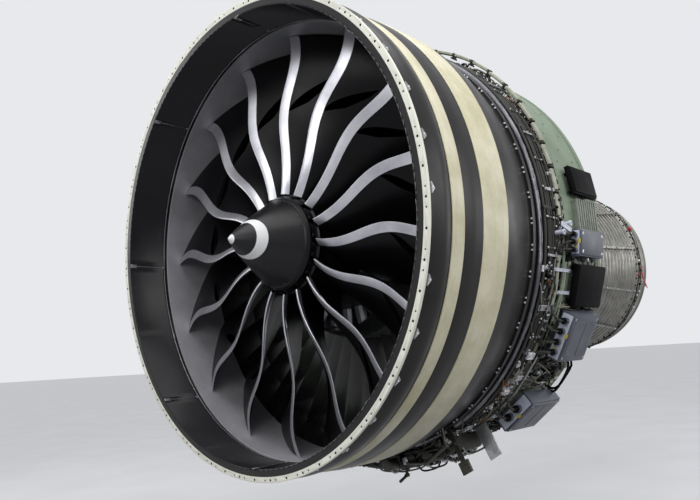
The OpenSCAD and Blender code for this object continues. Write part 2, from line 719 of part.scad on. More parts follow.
module fuel_nozzles() {
    y = 2950 + 90;
    color([0.60, 0.60, 0.61]) union() {
        hoop(548, y, 11);
        for (i = [0 : 23]) turned(i * 15 + 7.5) {
            post(9, 362, 546, y);
            post(16, 505, 518, y);
            translate([370, y - 6, 0]) rotate([-90, 0, 0]) cylinder(r = 13, h = 52);
        }
    }
}

module turbine_center_frame() {
    y0 = 3700;
    y1 = turbine_y;
    color([0.53, 0.50, 0.46]) union() {
        revolved([[480, y0], [530, y0], [530, y0 + 14], [turbine_front_r, y1 - 18],
            [turbine_front_r + 20, y1 - 16], [turbine_front_r + 20, y1], [turbine_front_r - 30, y1]]);
        revolved([[360, y0 + 4], [386, y0 + 4], [630, y1 - 6], [612, y1 - 6]]);
        intersection() {
            vaneRow(10, (y0 + y1) / 2, 150, 30, 0, 0, 340, turbine_front_r, 9);
            revolved([[373, y0 + 4], [505, y0], [turbine_front_r - 15, y1 - 10], [621, y1 - 6]]);
        }
        revolved([[170, 3752], [184, 3752], [400, 3740], [420, 3756], [400, 3758], [184, 3796],
            [170, 3796]]);
    }
}

module low_turbine_case() {
    color([0.55, 0.54, 0.49])
        revolved(concat(
            [[turbine_front_r - 12, turbine_y], [turbine_front_r + 20, turbine_y],
                [turbine_front_r + 20, turbine_y + 16], [turbine_front_r, turbine_y + 18],
                [turbine_case_r, turbine_end - 18], [turbine_case_r + 20, turbine_end - 16],
                [turbine_case_r + 20, turbine_end], [turbine_case_r - 12, turbine_end]],
            [for (k = [turbine_stages - 1 : -1 : 0]) let (y = nozzleStation(k))
                each [[turbineInner(y), y + 22], [turbineInner(y), y - 22]]]));
}

// Cooling tubes round the turbine case, each held between an inner and an outer bar.
module clearance_tubes() {
    tubes = 13;
    bars = 12;
    first = turbine_y + 40;
    last = turbine_end - 40;
    stand = 12;
    color([0.56, 0.55, 0.50]) union() {
        for (k = [0 : tubes - 1]) {
            y = first + 40 + k * (last - first - 80) / (tubes - 1);
            hoop(caseSkin(y) + stand + clearance_tube_r, y, clearance_tube_r);
        }
        for (i = [0 : bars - 1]) turned(i * 360 / bars + 11) {
            tubeBar(first, last, foot_gap, stand - 2 * foot_gap, 24);
            tubeBar(first, last, stand + 2 * clearance_tube_r + 2 * foot_gap, 8, 24);
        }
    }
}

// A bar along the turbine case, its foot a given height above the case's skin.
module tubeBar(y0, y1, foot, height, width) {
    translate([0, 0, -width / 2]) linear_extrude(height = width)
        polygon([[caseSkin(y0) + foot, y0], [caseSkin(y0) + foot + height, y0],
            [caseSkin(y1) + foot + height, y1], [caseSkin(y1) + foot, y1]]);
}

module turbine_rear_frame() {
    y0 = turbine_end;
    y1 = rear_frame_end;
    color([0.52, 0.51, 0.48]) union() {
        revolved([[turbine_case_r - 14, y0], [turbine_case_r + 20, y0], [turbine_case_r + 20, y0 + 16],
            [turbine_case_r, y0 + 18], [turbine_case_r, y0 + 62], [turbine_case_r + 26, y0 + 66],
            [turbine_case_r + 26, y0 + 84], [turbine_case_r - 4, y0 + 88], [turbine_case_r - 10, y1 - 14],
            [turbine_case_r + 4, y1 - 14], [turbine_case_r + 4, y1], [turbine_case_r - 14, y1]]);
        revolved([[596, y0 + 20], [620, y0 + 20], [610, y1], [560, y1], [560, y1 - 12], [596, y1 - 14]]);
        vaneRow(12, y0 + 130, 190, 26, 0, 0, 604, turbine_case_r - 6, 15);
        revolved([[126, 5000], [140, 5000], [300, y0 + 150], [600, y0 + 130], [600, y0 + 142],
            [300, y0 + 164], [140, 5034], [126, 5034]]);
    }
}

module rear_plug() {
    y0 = rear_frame_end;
    color([0.50, 0.48, 0.45]) revolved(concat(
        [[540, y0], [600, y0]],
        [for (i = [1 : 7]) let (t = i / 8) [600 * pow(cos(t * 90), 0.8), y0 + 340 * t]],
        [[0, y0 + 340], [0, y0 + 332]],
        [for (i = [7 : -1 : 1]) let (t = i / 8) [max(0, 600 * pow(cos(t * 90), 0.8) - 8), y0 + 332 * t]],
        [[592, y0 + 8], [540, y0 + 8]]));
}

// Section: bearings

module main_bearings() {
    color([0.70, 0.70, 0.72]) union() {
        for (y = [[992, 1036], [1310, 1340], [5002, 5032]])
            tube(126, low_shaft_r + bearing_gap, y[0], y[1]);
        for (y = [[1662, 1698], [3756, 3792]])
            tube(y[0] < 2000 ? 176 : 170, core_shaft_r + bearing_gap, y[0], y[1]);
    }
}

// Section: equipment on the barrel

// Radius of the underside of the boxes that stand on the barrel
unit_foot_r = barrel_front_r + 37;
// Front of the finned cooler, with the count and spacing of its fins
cooler_y = barrel_y + 183;
fin_count = 9;
fin_pitch = 38;

module seatedOnBarrel() {
    difference() {
        children();
        barrelFill();
    }
}

module harness_ring() {
    color([0.30, 0.33, 0.28]) union() {
        for (y = [case_length + 126, case_length + 196, case_length + 268])
            hoop(rib_r + 11.5, y, 11);
        for (i = [0 : 15]) turned(i * 22.5 + 4)
            block(rib_r + 4, rib_r + 20, case_length + 118, case_length + 276, 22);
    }
}

// A box on +X with feet that reach into the barrel's skin, its edges stepped back at both ends.
module equipmentBox(x0, x1, y0, y1, width) {
    round = 12;
    block(x0, x1 - round, y0, y1, width);
    block(x0, x1, y0 + round, y1 - round, width - 2 * round);
    for (y = [y0 + 60, y1 - 60], z = [-1, 1])
        post(14, barrel_rear_r - 120, x0 + 10, y, z * (width / 2 - 40));
}

module connectorRow(x, y, spacing, count, r) {
    for (i = [0 : count - 1])
        translate([x, y - 34, (i - (count - 1) / 2) * spacing])
            rotate([-90, 0, 0]) cylinder(r = r, h = 40, $fn = 24);
}

// Each control unit: angle, height, gap behind the barrel's front edge, length and width,
// then its connectors' spacing, count and radius
control_unit_list = [[-4.2, 90, 33, 380, 210, 60, 3, 18],
    [-27, 120, 33, 410, 400, 88, 4, 26],
    [-50.5, 130, 43, 450, 370, 110, 2, 34]];

module control_units() {
    color([0.40, 0.42, 0.48]) seatedOnBarrel() union()
        for (unit = control_unit_list) turned(unit[0]) {
            equipmentBox(unit_foot_r, unit_foot_r + unit[1], barrel_y + unit[2],
                barrel_y + unit[2] + unit[3], unit[4]);
            connectorRow(unit_foot_r + unit[1] / 2, barrel_y + unit[2], unit[5], unit[6], unit[7]);
        }
}

module equipment_covers() {
    color([0.05, 0.05, 0.06]) seatedOnBarrel() union() {
        turned(12) equipmentBox(unit_foot_r - 15, unit_foot_r + 35, barrel_y + 133, barrel_y + 513, 235);
        turned(-14.5) equipmentBox(unit_foot_r - 10, unit_foot_r + 47, barrel_y + 103, barrel_y + 563, 340);
        turned(3.5) {
            for (i = [0 : fin_count - 1]) block(unit_foot_r - 20, unit_foot_r + 2,
                cooler_y + i * fin_pitch, cooler_y + i * fin_pitch + 20, 250);
            block(barrel_rear_r - 120, unit_foot_r - 15, cooler_y,
                cooler_y + (fin_count - 1) * fin_pitch + 20, 230);
        }
    }
}

// Section: gearbox under the frame ring

gearbox_y = case_length + 58;
gearbox_end = frame_end + 58;
gearbox_inner_r = rib_r + 40;
gearbox_depth = 135;
gearbox_r = gearbox_inner_r + gearbox_depth;
gearbox_feet = [-110, -99, -79, -67];

module accessory_gearbox() {
    $fn = ring_facets;
    color([0.42, 0.42, 0.41]) union() {
        difference() {
            intersection() {
                revolved([[gearbox_inner_r, gearbox_y], [gearbox_r - 15, gearbox_y],
                    [gearbox_r, gearbox_y + 15], [gearbox_r, gearbox_end - 15],
                    [gearbox_r - 15, gearbox_end], [gearbox_inner_r, gearbox_end]]);
                sector(-114, -64, 1.2 * gearbox_r, gearbox_y - 10, gearbox_end + 10);
            }
            turned(tower_angle) post(20, gearbox_inner_r - 90, gearbox_inner_r + 70, tower_y);
        }
        for (a = gearbox_feet) turned(a)
            block(frame_r + foot_gap, gearbox_inner_r + 20, frame_end - 84, frame_end - 24, 50);
    }
}

// Pumps, generator and starter on the gearbox's two faces.
module gearbox_units() {
    unit_r = gearbox_inner_r + 80;
    color([0.50, 0.50, 0.50]) union() {
        turned(-72) translate([unit_r, gearbox_end, 0]) rotate([-90, 0, 0]) {
            cylinder(r = 62, h = 190);
            cylinder(r = 46, h = 230);
        }
        turned(-84) translate([unit_r, gearbox_y - 130, 0]) rotate([-90, 0, 0]) cylinder(r = 50, h = 130);
        turned(-103) translate([unit_r, gearbox_end, 0]) rotate([-90, 0, 0]) {
            cylinder(r = 66, h = 240);
            translate([0, 0, 240]) cylinder(r = 50, h = 30);
        }
        turned(-98) translate([unit_r, gearbox_y - 120, 0]) rotate([-90, 0, 0]) cylinder(r = 54, h = 120);
        turned(-71) translate([unit_r, gearbox_y - 90, 0]) rotate([-90, 0, 0]) cylinder(r = 44, h = 90);
    }
}

// A straight pipe between two points.
module pipeRun(a, b, r) {
    v = b - a;
    length = norm(v);
    translate(a) rotate([0, acos(v[2] / length), atan2(v[1], v[0])]) cylinder(r = r, h = length, $fn = 24);
}

// Pipes through a list of points, with a forged eight-sided elbow at each bend.
module pipePath(points, r) {
    for (i = [0 : len(points) - 2]) pipeRun(points[i], points[i + 1], r);
    for (i = [1 : len(points) - 2]) translate(points[i]) rotate([-90, 0, 0]) rotate([0, 0, 11])
        cylinder(r = r * 1.45, h = r * 2.6, $fn = 8, center = true);
}

function polar(r, a, y) = [r * cos(a), y, r * sin(a)];

module service_pipes() {
    $fn = ring_facets;
    pipe_r = gearbox_inner_r + 90;
    color([0.36, 0.36, 0.34]) {
        // Oil pipe from the gearbox's front face to the case
        difference() {
            pipePath([polar(pipe_r, -77, gearbox_y), polar(pipe_r, -77, gearbox_y - 100),
                polar(pipe_r + 45, -70, gearbox_y - 150), polar(pipe_r, -62, gearbox_y - 170),
                polar(shroud_r, -60, gearbox_y - 180)], 14);
            caseFill();
        }
        // Drain pipe with its foot turned forward
        pipePath([polar(gearbox_r + vane_seat, -84, gearbox_y + 110),
            polar(gearbox_r + 65, -84, gearbox_y + 110), polar(gearbox_r + 105, -84, gearbox_y + 10)], 13);
        // Fuel pipe from the gearbox's rear face to the barrel
        difference() {
            pipePath([polar(pipe_r, -88, gearbox_end), polar(pipe_r, -88, gearbox_end + 140),
                polar(pipe_r, -83, gearbox_end + 280), polar(shroud_r, -82, gearbox_end + 320)], 16);
            barrelFill();
        }
        // Fin, and a plate on an arm, that stand on the frame ring
        difference() {
            union() {
                turned(-59.5) block(frame_r - 70, frame_r + 368, frame_end - 62, frame_end - 50, 130);
                turned(-62.6) block(frame_r - 70, frame_r + 308, case_length + 30, case_length + 44, 44);
                turned(-62.6) block(frame_r + 303, frame_r + 408, case_length + 24, case_length + 50, 96);
            }
            revolved([[0, case_length], [frame_r, case_length], [frame_r, frame_end], [0, frame_end]]);
        }
    }
}

// Section: engine mounts

module engine_mounts() {
    // Underside of the pad's block over the ribs, clear of the harness
    clear_r = rib_r + 30;
    color([0.58, 0.58, 0.56]) union() {
        difference() {
            turned(90) union() {
                block(frame_r - 120, rib_r + 50, case_length + 130, frame_end - 30, 190);
                block(rib_r + 45, rib_r + 110, case_length + 60, frame_end - 30, 260);
            }
            revolved([[0, case_length], [clear_r, case_length], [clear_r, frame_end - 60],
                [frame_r, frame_end - 60], [frame_r, frame_end], [0, frame_end]]);
            turned(90) for (a = [45 : 90 : 315])
                post(mount_hole / 2, rib_r - 50, rib_r + 150, case_length + 205 + mount_pitch / 2 * cos(a),
                    mount_pitch / 2 * sin(a));
        }
        difference() {
            turned(90) for (z = [-45, 45]) translate([0, 0, z])
                block(turbine_case_r - 60, turbine_case_r + 150, turbine_end + 22, turbine_end + 60, 24);
            revolved([[0, turbine_end], [turbine_case_r, turbine_end], [turbine_case_r, turbine_end + 90],
                [0, turbine_end + 90]]);
            translate([-100, turbine_end + 41, turbine_case_r + 100]) rotate([0, 90, 0])
                cylinder(d = aft_pin_hole, h = 200);
        }
    }
}

spinner();
spinner_rear_ring();
fan_disk();
blade_platforms();
blade_edge_guards();
fanBlade(0);  // fan_blade_01
fanBlade(1);  // fan_blade_02
fanBlade(2);  // fan_blade_03
fanBlade(3);  // fan_blade_04
fanBlade(4);  // fan_blade_05
fanBlade(5);  // fan_blade_06
fanBlade(6);  // fan_blade_07
fanBlade(7);  // fan_blade_08
fanBlade(8);  // fan_blade_09
fanBlade(9);  // fan_blade_10
fanBlade(10);  // fan_blade_11
fanBlade(11);  // fan_blade_12
fanBlade(12);  // fan_blade_13
fanBlade(13);  // fan_blade_14
fanBlade(14);  // fan_blade_15
fanBlade(15);  // fan_blade_16
low_shaft();
booster_rotor();
low_turbine_rotor();
core_compressor_rotor();
core_turbine_rotor();
radial_drive_shaft();
unison_rings();
inlet_flange_ring();
fan_case();
wrap_bands();
inlet_liner_panels();
abradable_shroud();
aft_case_liner();
frame_outer_ring();
polished_ring();
flange_bolts();
outlet_guide_vanes();
fan_hub_frame();
splitter_nose();
booster_case();
core_compressor_case();
stator_vanes();
combustor_case();
combustor_liner();
fuel_nozzles();
turbine_center_frame();
low_turbine_case();
clearance_tubes();
turbine_rear_frame();
rear_plug();
main_bearings();
aft_barrel();
harness_ring();
control_units();
equipment_covers();
accessory_gearbox();
gearbox_units();
service_pipes();
engine_mounts();
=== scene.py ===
import json
import math
import random

import bpy
from mathutils import Matrix, Vector


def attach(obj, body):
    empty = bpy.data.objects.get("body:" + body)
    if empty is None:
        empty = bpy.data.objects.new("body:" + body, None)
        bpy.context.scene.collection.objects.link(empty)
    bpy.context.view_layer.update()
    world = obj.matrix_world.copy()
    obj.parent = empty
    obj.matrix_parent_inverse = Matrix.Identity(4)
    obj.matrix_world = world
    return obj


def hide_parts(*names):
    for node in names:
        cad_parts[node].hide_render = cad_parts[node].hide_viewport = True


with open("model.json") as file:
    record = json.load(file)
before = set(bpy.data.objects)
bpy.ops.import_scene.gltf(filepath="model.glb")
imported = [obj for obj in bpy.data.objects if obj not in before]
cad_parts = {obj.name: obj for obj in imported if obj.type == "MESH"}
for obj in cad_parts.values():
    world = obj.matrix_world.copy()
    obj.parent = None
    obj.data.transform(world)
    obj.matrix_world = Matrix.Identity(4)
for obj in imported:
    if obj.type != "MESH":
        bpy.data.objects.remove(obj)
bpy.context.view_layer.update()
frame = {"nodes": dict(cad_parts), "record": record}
print("frame loaded,", len(frame["nodes"]), "nodes")

# Small helpers

mergeLimit = 0.00002


def clearSelection():
    if bpy.context.mode != "OBJECT":
        bpy.ops.object.mode_set(mode="OBJECT")
    bpy.ops.object.select_all(action="DESELECT")


def pick(piece):
    clearSelection()
    piece.select_set(True)
    bpy.context.view_layer.objects.active = piece


def editAll(piece):
    pick(piece)
    bpy.ops.object.mode_set(mode="EDIT")
    bpy.ops.mesh.select_all(action="SELECT")


def leaveEdit():
    bpy.ops.object.mode_set(mode="OBJECT")


def polar(radius, angle, station):
    a = math.radians(angle)
    return Vector((radius * math.cos(a), station, radius * math.sin(a)))


def moved(x, y, z):
    return Matrix.Translation((x, y, z))


def turned(degrees, axis):
    return Matrix.Rotation(math.radians(degrees), 4, axis)


def scaled(x, y, z):
    return Matrix.Diagonal((x, y, z, 1))


def spot(angle, radius=0.0, station=0.0):
    # Local X points outwards at this angle, local Y runs aft and local Z goes round.
    return Matrix.Translation(polar(radius, angle, station)) @ turned(-angle, "Y")


def tidyMesh(piece):
    editAll(piece)
    bpy.ops.mesh.remove_doubles(threshold=mergeLimit)
    bpy.ops.mesh.normals_make_consistent(inside=False)
    leaveEdit()


def softenEdges(piece, width, segments=2):
    pick(piece)
    bevel = piece.modifiers.new("edges", "BEVEL")
    bevel.width = width
    bevel.segments = segments
    bevel.limit_method = "ANGLE"
    bevel.angle_limit = math.radians(35)
    bpy.ops.object.modifier_apply(modifier=bevel.name)


def turnProfile(profile, steps=192, name="turnedPiece"):
    # A loop of edges is laid on the profile's points (radius, station), then spun round the axis.
    clearSelection()
    bpy.ops.mesh.primitive_circle_add(vertices=len(profile), radius=1)
    piece = bpy.context.active_object
    piece.name = name
    for vertex, (radius, station) in zip(piece.data.vertices, profile):
        vertex.co = (radius, station, 0)
    editAll(piece)
    bpy.ops.mesh.spin(steps=steps, angle=math.tau, center=(0, 0, 0), axis=(0, 1, 0), use_auto_merge=True)
    leaveEdit()
    tidyMesh(piece)
    return piece


def wrapGrid(across, along, place):
    # A flat grid is wrapped into a closed skin: u runs round the section, v along the piece.
    clearSelection()
    bpy.ops.mesh.primitive_grid_add(x_subdivisions=across, y_subdivisions=along, size=2)
    piece = bpy.context.active_object
    for vertex in piece.data.vertices:
        vertex.co = place((vertex.co.x + 1) / 2, (vertex.co.y + 1) / 2)
    editAll(piece)
    bpy.ops.mesh.remove_doubles(threshold=mergeLimit)
    bpy.ops.mesh.select_all(action="DESELECT")
    bpy.ops.mesh.select_mode(type="EDGE")
    bpy.ops.mesh.select_non_manifold(extend=False, use_wire=False, use_multi_face=False,
                                     use_non_contiguous=False, use_verts=False)
    bpy.ops.mesh.edge_face_add()
    bpy.ops.mesh.select_mode(type="VERT")
    bpy.ops.mesh.select_all(action="SELECT")
    bpy.ops.mesh.normals_make_consistent(inside=False)
    leaveEdit()
    return piece


def joinPieces(pieces, name="joinedPiece"):
    clearSelection()
    for piece in pieces:
        piece.select_set(True)
    bpy.context.view_layer.objects.active = pieces[0]
    if len(pieces) > 1:
        bpy.ops.object.join()
    pieces[0].name = name
    return pieces[0]


def copiesAt(source, places, keep=False, name="copiedPiece"):
    # Each copy has its own mesh, and all of them are joined into one piece.
    made = []
    for place in places:
        copy = source.copy()
        copy.data = source.data.copy()
        copy.data.transform(place)
        bpy.context.scene.collection.objects.link(copy)
        made.append(copy)
    if not keep:
        bpy.data.objects.remove(source)
    return joinPieces(made, name)


def finishPiece(piece, body, finish, nodes=(), smooth=35):
    pick(piece)
    bpy.ops.object.shade_smooth_by_angle(angle=math.radians(smooth))
    piece.data.materials.clear()
    piece.data.materials.append(finishes[finish])
    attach(piece, body)
    if nodes:
        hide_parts(*nodes)


def cleanCopy(node, name, edge=0.0):
    # A merged copy of a CAD node, with its flat faces made whole so that its edges can be rounded.
    copy = frame["nodes"][node].copy()
    copy.data = copy.data.copy()
    copy.parent = None
    for key in list(copy.keys()):
        del copy[key]
    copy.hide_render = False
    copy.hide_viewport = False
    copy.name = name
    bpy.context.scene.collection.objects.link(copy)
    editAll(copy)
    bpy.ops.mesh.remove_doubles(threshold=0.00005)
    if edge > 0:
        bpy.ops.mesh.dissolve_limited(angle_limit=math.radians(0.4))
    leaveEdit()
    if edge > 0:
        softenEdges(copy, edge)
    return copy


def layTube(points, radius, sides=8):
    # A round tube through the points, on one smooth curve.
    clearSelection()
    bpy.ops.curve.primitive_nurbs_path_add()
    tube = bpy.context.active_object
    tube.data.splines.clear()
    spline = tube.data.splines.new("NURBS")
    spline.points.add(len(points) - 1)
    for knot, point in zip(spline.points, points):
        knot.co = (*point, 1)
    spline.use_endpoint_u = True
    spline.order_u = 3
    spline.resolution_u = 3
    tube.data.dimensions = "3D"
    tube.data.bevel_depth = radius
    tube.data.bevel_resolution = sides // 4 - 1
    tube.data.use_fill_caps = True
    bpy.ops.object.convert(target="MESH")
    bpy.ops.object.transform_apply(location=True, rotation=True, scale=True)
    return bpy.context.active_object


# Materials


def toLinear(hexColour):
    parts = [int(hexColour[i:i + 2], 16) / 255 for i in (1, 3, 5)]
    return tuple(p / 12.92 if p <= 0.04045 else ((p + 0.055) / 1.055) ** 2.4 for p in parts) + (1.0,)


def addNode(owner, kind, values=(), links=(), options=(), stops=()):
    # A link comes from a socket, or from the first output of a node.
    node = owner.node_tree.nodes.new("ShaderNode" + kind)
    for key, value in dict(options).items():
        setattr(node, key, value)
    for key, value in dict(values).items():
        node.inputs[key].default_value = value
    for key, source in dict(links).items():
        socket = source.outputs[0] if isinstance(source, bpy.types.Node) else source
        owner.node_tree.links.new(socket, node.inputs[key])
    for index, (position, colour) in enumerate(stops):
        node.color_ramp.elements[index].position = position
        node.color_ramp.elements[index].color = toLinear(colour)
    return node


def perMetre(millimetres):
    return 1000 / millimetres


def newMaterial(name):
    material = bpy.data.materials.new(name)
    material.use_nodes = True
    material.node_tree.nodes.clear()
    return material, addNode(material, "TexCoord").outputs["Object"]


def closeFinish(material, colour, haze, rough, height, relief, depth, values=()):
    # The roughness follows the haze between two limits, and the height gives a relief this many millimetres deep.
    dullness = addNode(material, "MapRange", {"From Min": 0.3, "From Max": 0.7, "To Min": rough[0],
                                              "To Max": rough[1]}, {"Value": haze})
    bump = addNode(material, "Bump", {"Strength": relief, "Distance": depth / 1000}, {"Height": height})
    shader = addNode(material, "BsdfPrincipled", values,
                     {"Base Color": colour, "Roughness": dullness, "Normal": bump})
    addNode(material, "OutputMaterial", links={"Surface": shader})
    return material


def makeFinish(name, colour, second, patch, rough, grain, depth, relief, values=()):
    material, place = newMaterial(name)
    haze = addNode(material, "TexNoise", {"Scale": perMetre(patch), "Detail": 5, "Roughness": 0.6},
                   {"Vector": place})
    speckle = addNode(material, "TexNoise", {"Scale": perMetre(grain), "Detail": 3, "Roughness": 0.55},
                      {"Vector": place})
    tone = addNode(material, "ValToRGB", links={"Fac": haze}, stops=((0.3, colour), (0.7, second)))
    return closeFinish(material, tone, haze, rough, speckle, relief, depth, values)


# Colour, second colour, size of the patches between them, roughness range, size of the grain,
# its depth and its strength, and what else the shader needs; sizes in millimetres
finishLooks = {
    # Titanium sheet, hand finished: pale satin metal with faint smears along the blade
    "brushedTitaniumGuard": ("#CDCDD2", "#AFAFB6", 180, (0.28, 0.42), 3.0, 0.25, 0.12, {"Metallic": 0.85}),
    # Carbon composite under a polyurethane coat: near black with soft reflections
    "coatedCarbonBlade": ("#0D0D10", "#08080A", 220, (0.30, 0.42), 7.0, 0.5, 0.12, {"IOR": 1.22}),
    # Epoxy primer and white enamel on an alloy ring: flat, a little dusty
    "whiteEnamelRing": ("#EFEEE3", "#E2E1D4", 90, (0.42, 0.55), 4.0, 0.3, 0.15),
    # Black enamel, baked: deep and even, satin gloss
    "blackEnamel": ("#0F0F12", "#0A0A0C", 140, (0.30, 0.40), 3.0, 0.2, 0.12, {"IOR": 1.28}),
    # Woven composite skin, resin rich: charcoal with a soft sheen and cloudy patches
    "charcoalComposite": ("#2B2A2A", "#1F1E1F", 260, (0.28, 0.42), 5.0, 0.35, 0.15, {"IOR": 1.30}),
    # Grey filled epoxy, sanded: dull with cloudy lighter patches
    "sandedFiller": ("#85858A", "#A2A1A6", 420, (0.38, 0.52), 2.5, 0.25, 0.15),
    # Cast aluminium, blasted: fine pebbled grey
    "blastedCasting": ("#8B8B88", "#737370", 70, (0.48, 0.62), 2.2, 0.4, 0.25, {"Metallic": 0.6}),
    # Stainless, machined and polished: bright with long soft reflections
    "polishedStainless": ("#BDBDC2", "#9C9CA2", 150, (0.16, 0.26), 2.0, 0.1, 0.1, {"Metallic": 1.0}),
    # Cast magnesium under a dark chromate: brownish black, fine pebbled
    "darkCasting": ("#3B3A36", "#2A2926", 70, (0.5, 0.65), 2.2, 0.4, 0.25, {"Metallic": 0.3}),
    # Black oxide on a polished ring: dark, and mirrors a lamp as one long streak
    "blackOxideRing": ("#6A6A6E", "#4C4C50", 150, (0.24, 0.33), 2.0, 0.1, 0.1, {"Metallic": 1.0}),
    # Bright zinc on small fasteners: nearly white specks
    "brightZinc": ("#E9EAEC", "#D0D2D6", 20, (0.3, 0.4), 1.5, 0.1, 0.1, {"Metallic": 0.3}),
    # Nickel alloy after test running: straw to olive grey heat tint
    "heatTintedNickel": ("#A3A29C", "#7E7D78", 120, (0.34, 0.5), 2.5, 0.3, 0.25, {"Metallic": 0.75}),
    # Nickel sheet inside the hot section: browner and duller
    "scorchedNickel": ("#6E6458", "#51493F", 90, (0.42, 0.58), 2.5, 0.3, 0.25, {"Metallic": 0.7}),
    # Titanium or steel of the rotors, milled: clean grey metal
    "milledAlloy": ("#8E8F93", "#77787C", 80, (0.28, 0.4), 2.0, 0.2, 0.25, {"Metallic": 0.9}),
    # Zinc chromate style primer, sprayed by hand: matt green with paler overspray
    "greenPrimer": ("#7E8E79", "#6B7A67", 240, (0.5, 0.64), 3.0, 0.3, 0.2),
    # Braided polyester sleeve over wires: dull, dark and knobbly
    "braidedSleeve": ("#1B1B1A", "#32322D", 24, (0.6, 0.8), 3.5, 1.2, 0.6),
    # Natural nylon sleeve: pale olive grey
    "paleSleeve": ("#8B8A79", "#6D6C5E", 24, (0.55, 0.75), 3.5, 1.2, 0.6),
    # Padded sleeve, olive grey: soft and matt
    "oliveSleeve": ("#A9AC9C", "#878A78", 60, (0.55, 0.7), 4.0, 0.8, 0.5),
    # Blue grey enamel over die cast housings: even, light sheen
    "blueGreyEnamel": ("#4F535F", "#484C57", 160, (0.36, 0.48), 2.5, 0.25, 0.2),
    # The same enamel made paler on the connector faces: painted light, for faces that little lamp light reaches. The
    # lever, its bosses and some brackets wear it as their own pale lilac paint
    "lilacEnamelAndPaintedLight": ("#CCD0DE", "#B4B9CA", 120, (0.38, 0.5), 2.5, 0.25, 0.2),
    # Black silicone rubber boots and covers: deep, hardly reflects
    "blackSilicone": ("#070709", "#0C0C0E", 90, (0.46, 0.6), 2.5, 0.4, 0.25, {"IOR": 1.14}),
    # Pleated cooler of olive painted sheet: dull grey green
    "olivePaint": ("#848B80", "#6C7268", 60, (0.45, 0.6), 2.5, 0.3, 0.2),
    # Yellow vinyl tags on the boxes, left plain
    "yellowVinyl": ("#D8C540", "#B9A93A", 20, (0.4, 0.5), 2.0, 0.1, 0.25),
    # Stainless tube, drawn: dull grey metal
    "drawnTube": ("#8F8F8E", "#6F6F6D", 60, (0.3, 0.42), 2.0, 0.15, 0.25, {"Metallic": 0.9}),
    # Zinc plated brackets and clips: pale, bright
    "zincPlate": ("#BFC0C2", "#9D9EA1", 30, (0.3, 0.45), 2.0, 0.2, 0.25, {"Metallic": 0.8}),
    # Cadmium plated steel fasteners and elbows: dark, slightly yellow
    "darkPlate": ("#4A4840", "#33322D", 25, (0.35, 0.55), 2.0, 0.2, 0.25, {"Metallic": 0.7}),
    # Red vinyl caps and tapes that close open ports
    "redVinyl": ("#B3202A", "#9A1A24", 40, (0.4, 0.5), 2.0, 0.15, 0.25),
    # Nylon blocks, moulded white: even and slightly soft
    "whiteNylon": ("#E3E4E8", "#CFD0D6", 40, (0.4, 0.5), 2.0, 0.15, 0.25),
    # Copper braid straps and brass nuts: a little red among the dark fittings
    "tarnishedCopper": ("#8A5F43", "#5E4430", 20, (0.35, 0.5), 1.5, 0.2, 0.25, {"Metallic": 0.8}),
}
finishes = {name: makeFinish(name, *look) for name, look in finishLooks.items()}


def makeSpinnerPaint():
    # Black enamel with a white crescent and a white tip, sprayed through a mask: satin all over
    look = {"black": "#131316", "second": "#0E0E11", "white": "#F1F1F3", "outer": (0.0385, 0.004, 0.150),
            "inner": (0.0155, 0.006, 0.1225), "tip": (0, 0, 0.035), "edge": 0.0012, "haze": 160, "peel": 9}
    paint, place = newMaterial("spinnerEnamel")
    flat = addNode(paint, "VectorMath", {1: (1, 0, 1)}, {0: place}, {"operation": "MULTIPLY"})
    circles = []
    for x, z, radius in (look["outer"], look["inner"], look["tip"]):
        away = addNode(paint, "VectorMath", {1: (x, 0, z)}, {0: flat}, {"operation": "DISTANCE"})
        circles.append(addNode(paint, "MapRange", {"From Min": radius - look["edge"], "From Max": radius + look["edge"],
                                                   "To Min": 1.0, "To Max": 0.0}, {"Value": away.outputs["Value"]}))
    crescent = addNode(paint, "Math", (), {0: circles[0], 1: circles[1]}, {"operation": "SUBTRACT", "use_clamp": True})
    mask = addNode(paint, "Math", (), {0: crescent, 1: circles[2]}, {"operation": "MAXIMUM"})
    haze = addNode(paint, "TexNoise", {"Scale": perMetre(look["haze"]), "Detail": 4}, {"Vector": place})
    black = addNode(paint, "ValToRGB", (), {"Fac": haze}, (), ((0.3, look["black"]), (0.7, look["second"])))
    mix = addNode(paint, "Mix", {7: toLinear(look["white"])}, {0: mask, 6: black}, {"data_type": "RGBA"})
    peel = addNode(paint, "TexNoise", {"Scale": perMetre(look["peel"]), "Detail": 2}, {"Vector": place})
    return closeFinish(paint, mix.outputs[2], haze, (0.30, 0.38), peel, 0.06, 0.4, {"IOR": 1.35})


def makePanelFacing():
    # Perforated acoustic facing, black: fine holes give a soft dark surface with a broad sheen.
    # The real holes are 1.5 mm; they are drawn at 6 mm so that they just show.
    look = {"colour": "#0B0B0E", "second": "#131317", "hole": 6.0, "patch": 380}
    facing, place = newMaterial("perforatedFacing")
    haze = addNode(facing, "TexNoise", {"Scale": perMetre(look["patch"]), "Detail": 5}, {"Vector": place})
    tone = addNode(facing, "ValToRGB", (), {"Fac": haze}, (), ((0.3, look["colour"]), (0.7, look["second"])))
    holes = addNode(facing, "TexVoronoi", {"Scale": perMetre(look["hole"])}, {"Vector": place})
    return closeFinish(facing, tone, haze, (0.20, 0.32), holes, 0.12, 0.6, {"IOR": 1.25})


